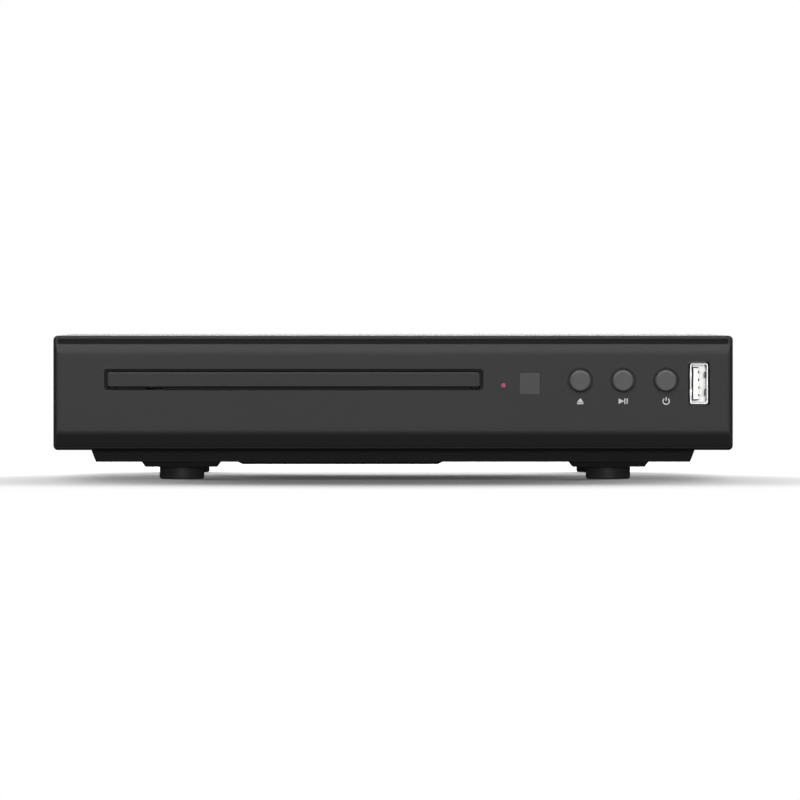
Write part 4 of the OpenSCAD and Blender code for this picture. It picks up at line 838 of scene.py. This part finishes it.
screws = {
    "coverScrews": {"node": "cover_screws", "finish": "screwBlack", "length": 7.0, "from": "back"},
    "loaderScrews": {"node": "loader_screws", "finish": "tinnedMetal", "length": 5.5, "from": "top"},
    "boardScrews": {"node": "board_screws", "finish": "tinnedMetal", "length": 6.0, "from": "top"},
}

panHead = {
    "radius": 2.8,
    "height": 1.6,
    # shares of the radius and of the height, from the rim to the middle
    "dome": ((1.0, 0.0), (1.0, 0.35), (0.97, 0.55), (0.86, 0.78), (0.72, 0.9), (0.6, 0.96),
             (0.5, 0.985), (0.4, 1.0), (0.3, 1.0), (0.2, 1.0), (0.1, 1.0)),
    "arm": 0.32,              # half the width of the cross's arms, mm
    "reach": 0.55,            # share of the radius that the cross covers
    "recess": 0.55,           # depth of the cross, as a share of the height
    "bottom": 0.4,            # height of the cross's middle, as a share
    "core": 0.9,
    "crest": 1.15,
    "pitch": 1.0,
}


def crossHead(look, sides=64):
    # a domed pan head whose top rings sink into a cross-shaped recess
    radius, height = look["radius"], look["height"]
    rings = []
    for share, up in look["dome"]:
        ring = circle(share * radius, up * height, sides)
        for point in ring:
            x, y = abs(point.x), abs(point.y)
            if min(x, y) < look["arm"] and max(x, y) < look["reach"] * radius:
                point.z -= look["recess"] * height
        rings.append(ring)
    points, faces = skin(rings, "open")
    top, last = len(points), len(points) - sides
    points.append(Vector((0, 0, look["bottom"] * height)))
    faces += [(last + k, last + (k + 1) % sides, top) for k in range(sides)]
    faces.append(tuple(range(sides))[::-1])
    return points, faces


def makeScrews(name, look):
    shank = threadedRod(-look["length"], 0.1, panHead["core"], panHead["crest"], panHead["pitch"])
    screw = joined([crossHead(panHead), shank])
    shapes = []
    for low, high in islandsOf(look["node"]):
        x, y, z = (low + high) / 2
        if look["from"] == "back":
            place = shift(x, high.y - panHead["height"], z) @ facingBack
        else:
            place = shift(x, y, high.z - panHead["height"])
        shapes.append((look["finish"], moved(screw, place)))
    makePiece(name, shapes, "base", [look["node"]])


for name, look in screws.items():
    makeScrews(name, look)
print("screws driven")


# springs of the USB socket, and its painted shade: dark slots and a dark band round the tongue

usbSprings = {
    "heights": (-2.9, 2.9),   # from the socket's middle, mm
    "width": 2.0,
    "thickness": 0.25,
    "wall": 0.2,
    "reach": (0.3, 0.75),     # how far the springs of the left and right wall stand in
    # depth behind the socket's front, and distance from the wall in mm and as a share of the reach
    "bends": ((7.4, 0, 0), (6.2, 0.1, 0), (4.2, 0, 1), (3.6, 0, 0.9), (2.7, 0.25, 0)),
}

tonguePaintedShade = {
    "shadeSlotHeights": (-3.8, -1.25, 1.25, 3.8),
    "shadeSlotSize": (0.5, 0.85),  # across and up
    "shadeSlotDepth": (-0.04, 0.5),
    "tongueLeft": 1.15,       # from the shell's left side to the tongue's
    "tongueHalf": 5.15,       # half the tongue's height
    "shadowBand": 0.32,             # thickness of the dark band round the tongue's back and ends, a painted shadow
    "shadowBandGap": 0.02,
    "shadowBandDepth": (0.5, 4.0),  # behind the tongue's front
}


def makeUsbSprings(look):
    low, high = boxOf("usb_shell")
    middle, wall, half = (low.z + high.z) / 2, look["wall"], look["width"] / 2
    shapes = []
    for side, start, reach in zip((1, -1), (low.x + wall, high.x - wall), look["reach"]):
        path = [(start + side * (fixed + share * reach), low.y + depth)
                for depth, fixed, share in look["bends"]]
        for height in look["heights"]:
            spring = leaf(path, look["thickness"], middle + height - half, middle + height + half)
            shapes.append(("springSteel", spring))
    return makePiece("usbSprings", shapes, "base")


def makeTonguePaintedShade(look):
    # dark blocks at the contacts' tips, painted shade in their recesses, and a dark band along the
    # tongue's outer edges, a painted shadow
    low, high = boxOf("usb_tongue")
    side, middle = boxOf("usb_contacts")[0].x, (low.z + high.z) / 2
    wide, tall = (size / 2 for size in look["shadeSlotSize"])
    front, rear = (low.y + depth for depth in look["shadeSlotDepth"])
    shapes = []
    for z in (middle + height for height in look["shadeSlotHeights"]):
        slot = chamferedBlock((side - wide, front, z - tall), (side + wide, rear, z + tall), 0.08)
        shapes.append(("blackMoulding", slot))
    left, half = boxOf("usb_shell")[0].x + look["tongueLeft"], look["tongueHalf"]
    outer, inner = ([(side, half + out), (left - out, half + out), (left - out, -half - out),
                     (side, -half - out)] for out in (look["shadowBand"], look["shadowBandGap"]))
    front, rear = (low.y + depth for depth in look["shadowBandDepth"])
    shadowBand = moved(band(inner, outer, -rear, -front), shift(0, 0, middle) @ facingFront)
    makePiece("tonguePaintedShade", shapes + [("blackMoulding", shadowBand)], "base")


usbSpringPiece = makeUsbSprings(usbSprings)
makeTonguePaintedShade(tonguePaintedShade)
print("socket springs bent")


# coloured collars and sleeves of the phono sockets, contacts of the HDMI socket, pin of the inlet

rearSockets = {
    "collarColours": ("phonoYellow", "phonoWhite", "phonoRed"),
    # heights are counted from the barrel's mouth, mm
    "collar": {"inner": 1.75, "outer": 3.3, "low": -0.42, "high": -0.06, "cut": (0.12, 0.09),
               "sides": 40},
    "sleeve": {"inner": 1.2, "outer": 1.58, "low": -8.5, "high": -0.45, "cut": (0.08, 0.1),
               "sides": 28},
    "contacts": 10,
    "contactPitch": 0.9,
    "contactWidth": 0.4,
    "contactDepth": (-8.4, -1.9),
    "contactHeight": (3.38, 3.48),
    "inletMouth": 1.0,        # how far the pin's profile starts behind the inlet's face
    "inletHeight": 6.0,
    "inletPin": ((0, -8.0), (1.04, -8.0), (1.04, -0.5), (0.85, -0.12), (0, -0.12)),
}


def makePhonoCollars(look):
    sleeves = []
    for (low, high), colour in zip(islandsOf("jack_barrels"), look["collarColours"]):
        x, y, z = (low + high) / 2
        place = shift(x, high.y, z) @ facingBack
        collar = moved(cutRing(**look["collar"]), place)
        makePiece(colour.replace("phono", "phonoCollar"), [(colour, collar)], "base")
        sleeves.append(("tinnedMetal", moved(cutRing(**look["sleeve"]), place)))
    makePiece("phonoSleeves", sleeves, "base")


def makeHdmiContacts(look):
    low, high = boxOf("hdmi_socket")
    rear, front = (high.y + depth for depth in look["contactDepth"])
    bottom, top = (low.z + height for height in look["contactHeight"])
    half = look["contactWidth"] / 2
    shapes = []
    for i in range(look["contacts"]):
        x = (low.x + high.x) / 2 + (i - (look["contacts"] - 1) / 2) * look["contactPitch"]
        contact = chamferedBlock((x - half, rear, bottom), (x + half, front, top), 0.03)
        shapes.append(("goldFlash", contact))
    makePiece("hdmiContacts", shapes, "base")


def makeInletPin(look):
    low, high = boxOf("dc_inlet")
    place = shift((low.x + high.x) / 2, high.y - look["inletMouth"], low.z + look["inletHeight"])
    pin = moved(turned(look["inletPin"]), place @ facingBack)
    makePiece("inletPin", [("tinnedMetal", pin)], "base")


makePhonoCollars(rearSockets)
makeHdmiContacts(rearSockets)
makeInletPin(rearSockets)
print("rear sockets fitted")


# legs of the chips, and the dot at each chip's first leg

chipLegs = {
    "pitch": 0.8,
    "width": 0.3,
    "reach": 1.1,
    "thickness": 0.15,
    "bare": 1.0,              # length of a side that has no legs, mm
    # share of the reach, and height above the board; None is half the chip's height
    "bends": ((-0.05, None), (0.35, None), (0.55, 0.1), (1.0, 0.08)),
    "dot": ((0, -0.02), (0.4, -0.02), (0.4, 0.015), (0, 0.015)),
    "dotIn": 1.1,
}


def legRow(start, end, fixed, outward, floor, top, look):
    # gull-wing legs along X from start to end, standing out towards -Y or +Y
    count = int((end - start - look["bare"]) / look["pitch"]) + 1
    first = (start + end) / 2 - (count - 1) * look["pitch"] / 2
    shoulder = (floor + top) / 2
    path = [(fixed + share * look["reach"] * outward, shoulder if up is None else floor + up)
            for share, up in look["bends"]]
    points, faces = leaf(path, look["thickness"], -look["width"] / 2, look["width"] / 2)
    return [([Vector((first + i * look["pitch"] + p.z, p.x, p.y)) for p in points], faces)
            for i in range(count)]


def makeChipLegs(look):
    legs, dots = [], []
    for low, high in islandsOf("chips"):
        wide, long = high.x - low.x, high.y - low.y
        square = abs(wide - long) < 1
        for side, outward in ((low, -1), (high, 1)):
            if square or wide > long:
                legs += legRow(low.x, high.x, side.y, outward, low.z, high.z, look)
            if square or long > wide:
                for points, faces in legRow(low.y, high.y, side.x, outward, low.z, high.z, look):
                    legs.append(([p.yxz for p in points], [f[::-1] for f in faces]))
        place = shift(low.x + look["dotIn"], low.y + look["dotIn"], high.z)
        dots.append(("ceramicTan", moved(turned(look["dot"], 20), place)))
    makePiece("chipLegs", [("tinnedMetal", shape) for shape in legs], "base")
    makePiece("chipDots", dots, "base")


makeChipLegs(chipLegs)
print("chips have their legs")


# capacitors in printed sleeves, wound coils

coils = {
    "wire": 0.34,             # radius, mm
    "core": 0.42,             # radius under the wire, as a share of the coil's width
    "flange": 1.2,
    "smallest": 10,           # power parts narrower than this aren't coils
    "steps": 36,              # points in a turn
}


def makeCapacitors():
    shapes = []
    for low, high in islandsOf("capacitors"):
        r, h = (high.x - low.x) / 2, high.z - low.z
        place = shift((low.x + high.x) / 2, (low.y + high.y) / 2, low.z)
        sleeve = turned([(0, 0.1), (r - 0.35, 0.1), (r - 0.1, 0.3), (r, 0.5), (r, 1.1),
                         (r - 0.25, 1.35), (r - 0.3, 1.6), (r - 0.25, 1.85), (r, 2.1), (r, h - 0.45),
                         (r - 0.12, h - 0.15), (r - 0.45, h - 0.05), (r - 0.6, h - 0.12),
                         (0, h - 0.12)], 40)
        top = turned([(0, h - 0.2), (r - 0.6, h - 0.2), (r - 0.62, h - 0.08), (0, h - 0.06)], 40)
        shapes += [("sleeveFilm", moved(sleeve, place)), ("ventAluminium", moved(top, place))]
        score = chamferedBlock((-r * 0.6, -0.12, h - 0.1), (r * 0.6, 0.12, h - 0.02), 0.03)
        for turn in (0, 90):   # the scored cross that lets gas out
            turnedScore = moved(score, place @ Matrix.Rotation(math.radians(turn), 4, "Z"))
            shapes.append(("ventAluminium", turnedScore))
    makePiece("sleevedCapacitors", shapes, "base", ["capacitors"])


def makeCoils(look):
    shapes = []
    for low, high in islandsOf("power_parts"):
        wide, tall = high.x - low.x, high.z - low.z
        if abs(wide - (high.y - low.y)) > 0.5 or wide < look["smallest"]:
            continue
        radius = wide * look["core"] + look["wire"] * 0.9
        start = look["flange"] + look["wire"]
        rise = tall - 2 * start
        turns = int(rise / (look["wire"] * 2)) + 1
        path = []
        for i in range(turns * look["steps"]):
            angle = 2 * math.pi * i / look["steps"]
            height = start + rise * i / (turns * look["steps"])
            path.append((radius * math.cos(angle), radius * math.sin(angle), height))
        place = shift((low.x + high.x) / 2, (low.y + high.y) / 2, low.z)
        shapes.append(("copperWire", moved(wire(path, look["wire"], 8), place)))
    makePiece("coilWindings", shapes, "base")


makeCapacitors()
makeCoils(coils)
print("capacitors and coils stand")


# small parts and sockets on the main board

boardSockets = {
    # share of the board's length, ways and pitch of each socket along the left edge
    "places": ((0.26, 6, 2.0), (0.42, 12, 1.0), (0.56, 16, 0.5)),
    "fromEdge": 1.2,
    "ends": 2.4,              # length beyond the contacts
    "depth": 4.6,
    "height": 4.2,
    "floor": 0.9,
    "wall": 0.7,
}

boardParts = {
    "count": 130,
    "seed": 7,
    "sizes": ((1.0, 0.5, 0.35), (1.6, 0.8, 0.45), (2.0, 1.25, 0.6)),
    "finishes": ("resistorBlack", "ceramicTan", "ceramicTan"),
    "edge": 2,                # kept clear along the board's edges, mm
    "margin": 1.2,            # kept clear round everything else on the board
    "closer": 0.8,            # how much less is kept clear between two small parts
    "grid": 0.5,
    "metal": 0.22,            # share of a part's length that each metal end covers
    "proud": 0.02,
}


def socketBoxes(look):
    low, high = boxOf("main_board")
    left, boxes = low.x + look["fromEdge"], []
    for share, ways, pitch in look["places"]:
        middle, half = low.y + share * (high.y - low.y), (ways * pitch + look["ends"]) / 2
        boxes.append((Vector((left, middle - half, high.z)),
                      Vector((left + look["depth"], middle + half, high.z + look["height"]))))
    return boxes


def makeBoardSockets(look):
    wall = look["wall"]
    shapes = []
    for (low, high), (share, ways, pitch) in zip(socketBoxes(look), look["places"]):
        base, left, right = low.z + look["floor"], low.x + wall, high.x - wall
        housing = [(low, (high.x, high.y, base + 0.1), 0.1),
                   ((low.x, low.y, base), (left, high.y, high.z), 0.1),
                   ((right, low.y, base), high, 0.1)]
        for y in (low.y, high.y - wall):
            housing.append(((left - 0.1, y, base), (right + 0.1, y + wall, high.z), 0.05))
        shapes += [("socketIvory", chamferedBlock(*block)) for block in housing]
        x, thick = (low.x + high.x) / 2, min(0.25, pitch * 0.25)
        for i in range(ways):
            y = (low.y + high.y) / 2 + (i - (ways - 1) / 2) * pitch
            pin = ((x - thick, y - thick, base), (x + thick, y + thick, high.z - 0.8))
            tail = ((high.x - 0.1, y - thick, low.z), (high.x + 0.7, y + thick, low.z + 0.15))
            shapes += [("tinnedMetal", chamferedBlock(*block, 0.04)) for block in (pin, tail)]
    makePiece("boardSockets", shapes, "base")


def metalEnds(low, high, look):
    axis = 0 if high.x - low.x > high.y - low.y else 1
    length, proud = (high[axis] - low[axis]) * look["metal"], look["proud"]
    shapes = []
    for end in (0, 1):
        a, b = low - Vector((proud, proud, 0)), high + Vector((proud, proud, proud))
        if end:
            a[axis] = high[axis] - length
        else:
            b[axis] = low[axis] + length
        shapes.append(("tinnedMetal", chamferedBlock(a, b, 0.04)))
    return shapes


def makeBoardParts(look):
    random.seed(look["seed"])
    low, high = boxOf("main_board")
    taken = socketBoxes(boardSockets)
    for node in ("chips", "capacitors", "power_parts", "board_screws", "jack_block", "hdmi_socket",
                 "dc_inlet"):
        taken += islandsOf(node)
    bossRoom = Vector((6, 4, 0))   # the loader's bosses are wider than their screws
    taken += [(a - bossRoom, b + bossRoom) for a, b in islandsOf("loader_screws")]
    edge, margin, grid = look["edge"], look["margin"], look["grid"]
    closer = Vector((look["closer"], look["closer"], 0))
    placed, shapes = 0, []
    for attempt in range(look["count"] * 30):
        if placed >= look["count"]:
            break
        wide, long, tall = random.choice(look["sizes"])
        if random.random() < 0.5:
            wide, long = long, wide
        x = round(random.uniform(low.x + edge, high.x - edge) / grid) * grid
        y = round(random.uniform(low.y + edge, high.y - edge) / grid) * grid
        if not all(x + wide / 2 + margin < a.x or x - wide / 2 - margin > b.x
                   or y + long / 2 + margin < a.y or y - long / 2 - margin > b.y for a, b in taken):
            continue
        start = Vector((x - wide / 2, y - long / 2, high.z))
        end = Vector((x + wide / 2, y + long / 2, high.z + tall))
        placed += 1
        taken.append((start + closer, end - closer))
        shapes.append((random.choice(look["finishes"]), chamferedBlock(start, end, 0.05)))
        shapes += metalEnds(start, end, look)
    makePiece("smallBoardParts", shapes, "base")
    print("small board parts:", placed)


makeBoardSockets(boardSockets)
makeBoardParts(boardParts)


# steel plates on the key switches

switchPlates = {
    "hole": 2.0,
    "margin": 0.15,
    "thickness": 0.2,
    "step": 15,               # degrees between points
}


def makeSwitchPlates(look):
    angles = [math.radians(a) for a in range(45, 405, look["step"])]
    thick = look["thickness"]
    shapes = []
    for low, high in islandsOf("key_switches"):
        half = (high.x - low.x) / 2 - look["margin"]
        edge = [half / max(abs(math.cos(a)), abs(math.sin(a))) for a in angles]
        hole = [look["hole"]] * len(angles)
        rings = [[Vector((r * math.cos(a), r * math.sin(a), z)) for r, a in zip(line, angles)]
                 for line, z in ((edge, 0), (edge, thick), (hole, thick), (hole, 0))]
        place = shift((low.x + high.x) / 2, low.y, (low.z + high.z) / 2) @ facingFront
        shapes.append(("tinnedMetal", moved(skin(rings, "joined"), place)))
    makePiece("switchPlates", shapes, "base")


makeSwitchPlates(switchPlates)
print("key switches capped")


# the drive belt and the lead screw

belt = {
    "thickness": 1.0,
    "rounding": 0.3,
    "steps": 32,              # round each pulley
}

leadThread = {
    "pitch": 2.0,
    "crest": 1.5,
    "core": 1.12,
    "plainEnd": 1.6,
    "rootLength": 4.4,
    "short": 0.3,             # how much shorter than its solid it is drawn, mm
}


def makeBelt(look):
    low, high = boxOf("drive_belt")
    pulley, motor = (Vector(joints[name]["pos_m"]) / mm
                     for name in ("pulley_gear_spin", "motor_pulley_spin"))
    big, small = (high.y - low.y) / 2, high.x - motor.x
    lean = math.degrees(math.asin((big - small) / (motor.x - pulley.x)))
    half, flat = look["thickness"] / 2, look["thickness"] / 2 - look["rounding"]
    section = [(-half, -flat), (-flat, -half), (flat, -half), (half, -flat),
               (half, flat), (flat, half), (-flat, half), (-half, flat)]
    rings = []
    for centre, radius, start, end in ((pulley, big, 90 - lean, 270 + lean),
                                       (motor, small, lean - 90, 90 - lean)):
        for i in range(look["steps"] + 1):
            angle = math.radians(start + (end - start) * i / look["steps"])
            outward = Vector((math.cos(angle), math.sin(angle), 0))
            middle = Vector((centre.x, centre.y, (low.z + high.z) / 2))
            rings.append([middle + outward * (radius - half + out) + Vector((0, 0, up))
                          for out, up in section])
    strap = skin(rings, "joined", flip=True)
    makePiece("loadingBelt", [("beltRubber", strap)], "base", ["drive_belt"])


def makeLeadScrew(look):
    low, high = boxOf("lead_screw")
    length = (high.y - low.y) / math.cos(liftAngle) - look["short"]
    place = lowered @ shift(*levelJoint("lead_screw_spin")) @ facingBack
    end, crest, root = look["plainEnd"], look["crest"], length - look["rootLength"]
    rods = [threadedRod(end - 0.3, root + 0.2, look["core"], crest, look["pitch"]),
            turned([(0, 0.1), (crest - 0.2, 0.1), (crest, 0.3), (crest, end), (1.1, end + 0.1),
                    (0, end + 0.1)]),
            turned([(0, root), (crest, root), (crest, length - 0.2), (0, length - 0.2)])]
    shapes = [("groundSteel", moved(rod, place)) for rod in rods]
    makePiece("threadedLeadScrew", shapes, "lead_screw", ["lead_screw"])


makeBelt(belt)
makeLeadScrew(leadThread)
print("belt and lead screw run")


# turntable balls, lens magnets and the pickup's flexible circuit

hubBalls = {
    "radius": 0.9,
    "turns": (90, 210, 330),
    "out": 6.75,              # from the spindle's axis
    "down": 1.35,             # from the turntable's top
    "cap": ((0, 0), (2.2, 0), (2.2, 0.35), (1.9, 0.6), (0, 0.7)),
    "capDown": 0.85,
}

lensParts = {
    "magnetLength": 6.4,
    "magnetOut": (0.85, 1.75),  # from the lens holder's front and back
    "magnetHeight": (-0.6, 1.5),
    "coilOut": (-0.02, 0.28),
    "coilSide": (0.5, 3.6),   # from the lens's middle
    "coilHeight": (0.2, 1.3),
}

pickupFlex = {
    "width": 12.0,
    "depth": (-13, -0.6),     # from the sled's back, mm
    "height": (-0.02, 0.12),  # from the sled's top
    "pads": 11,
    "padPitch": 0.95,
    "padSize": (0.6, 1.8, 0.1),
    "padsBack": -2.5,
    # middle, and size of the parts on it
    "parts": (((-3.2, -9.5), (3.0, 3.0, 0.6)), ((2.4, -9.8), (1.6, 0.8, 0.35)),
              ((2.4, -8.0), (1.6, 0.8, 0.35))),
    "partsUp": 0.1,
}


def makeHubBalls(look):
    axis, top = levelJoint("spindle_spin"), levelBounds("turntable")[1].z
    radius, arc = look["radius"], [math.radians(a) for a in range(-90, 91, 15)]
    ball = turned([(radius * math.cos(a), radius * math.sin(a)) for a in arc], 16)
    shapes = []
    for turn in look["turns"]:
        out = Vector((math.cos(math.radians(turn)), math.sin(math.radians(turn)))) * look["out"]
        place = lowered @ shift(axis.x + out.x, axis.y + out.y, top - look["down"])
        shapes.append(("groundSteel", moved(ball, place)))
    place = lowered @ shift(axis.x, axis.y, top - look["capDown"])
    shapes.append(("goldFlash", moved(turned(look["cap"]), place)))
    makePiece("hubBalls", shapes, "turntable")


def makeLensParts(look):
    low, high = levelBounds("objective_lens")
    middle, half = (low.x + high.x) / 2, look["magnetLength"] / 2
    magnets, windings = [], []

    def block(shapes, finish, x, y, z, cut):
        corners = boundsOf([Vector((x[i], y[i], low.z + z[i])) for i in (0, 1)])
        shapes.append((finish, moved(chamferedBlock(*corners, cut), lowered)))

    for near, outward in ((low.y, -1), (high.y, 1)):
        out = [near + outward * reach for reach in look["magnetOut"]]
        across = (middle - half, middle + half)
        block(magnets, "magnetGrey", across, out, look["magnetHeight"], 0.15)
        out = [near + outward * reach for reach in look["coilOut"]]
        for side in (-1, 1):
            across = [middle + side * reach for reach in look["coilSide"]]
            block(windings, "copperWire", across, out, look["coilHeight"], 0.08)
    makePiece("lensMagnets", magnets, "sled")
    makePiece("lensWindings", windings, "lens")


def makePickupFlex(look):
    back, top = levelBounds("pickup_sled")[1].yz
    x, up, half = levelJoint("spindle_spin").x, top + look["partsUp"], look["width"] / 2
    rear, front = (back + depth for depth in look["depth"])
    bottom, film = (top + height for height in look["height"])
    blocks = [("flexAmber", (x - half, rear, bottom), (x + half, front, film), 0.04)]

    def lay(finish, across, along, size, cut):
        spot = Vector((x + across, back + along, up))
        wide, long, tall = size
        blocks.append((finish, spot - Vector((wide / 2, long / 2, 0)),
                       spot + Vector((wide / 2, long / 2, tall)), cut))

    for i in range(look["pads"]):
        across = (i - (look["pads"] - 1) / 2) * look["padPitch"]
        lay("tinnedMetal", across, look["padsBack"], look["padSize"], 0.04)
    for (across, along), size in look["parts"]:
        lay("resistorBlack", across, along, size, 0.06)
    shapes = [(finish, moved(chamferedBlock(*block), lowered)) for finish, *block in blocks]
    makePiece("pickupFlex", shapes, "sled")


makeHubBalls(hubBalls)
makeLensParts(lensParts)
makePickupFlex(pickupFlex)
print("pickup fitted")


# light for the player alone, and a soft light straight into the USB socket

socketLight = {
    "place": (0.1, -2.9, 0.1),
    "size": (0.5, 0.3),
    "watts": 55,
    "lights": "socket",
}


def sortReceivers():
    for piece in bpy.context.scene.objects:
        if piece.type == "MESH" and not piece.get("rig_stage"):
            lightGroups["player"].objects.link(piece)
    for piece in (nodes["usb_shell"], nodes["usb_tongue"], nodes["usb_contacts"], usbSpringPiece):
        lightGroups["socket"].objects.link(piece)


sortReceivers()
usbLow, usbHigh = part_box("usb_shell")
softBoxes["socketLight"] = {**socketLight, "aim": tuple((usbLow + usbHigh) / 2)}
hangBoxes(softBoxes, lightGroups)
print("lights hung:", len(softBoxes))
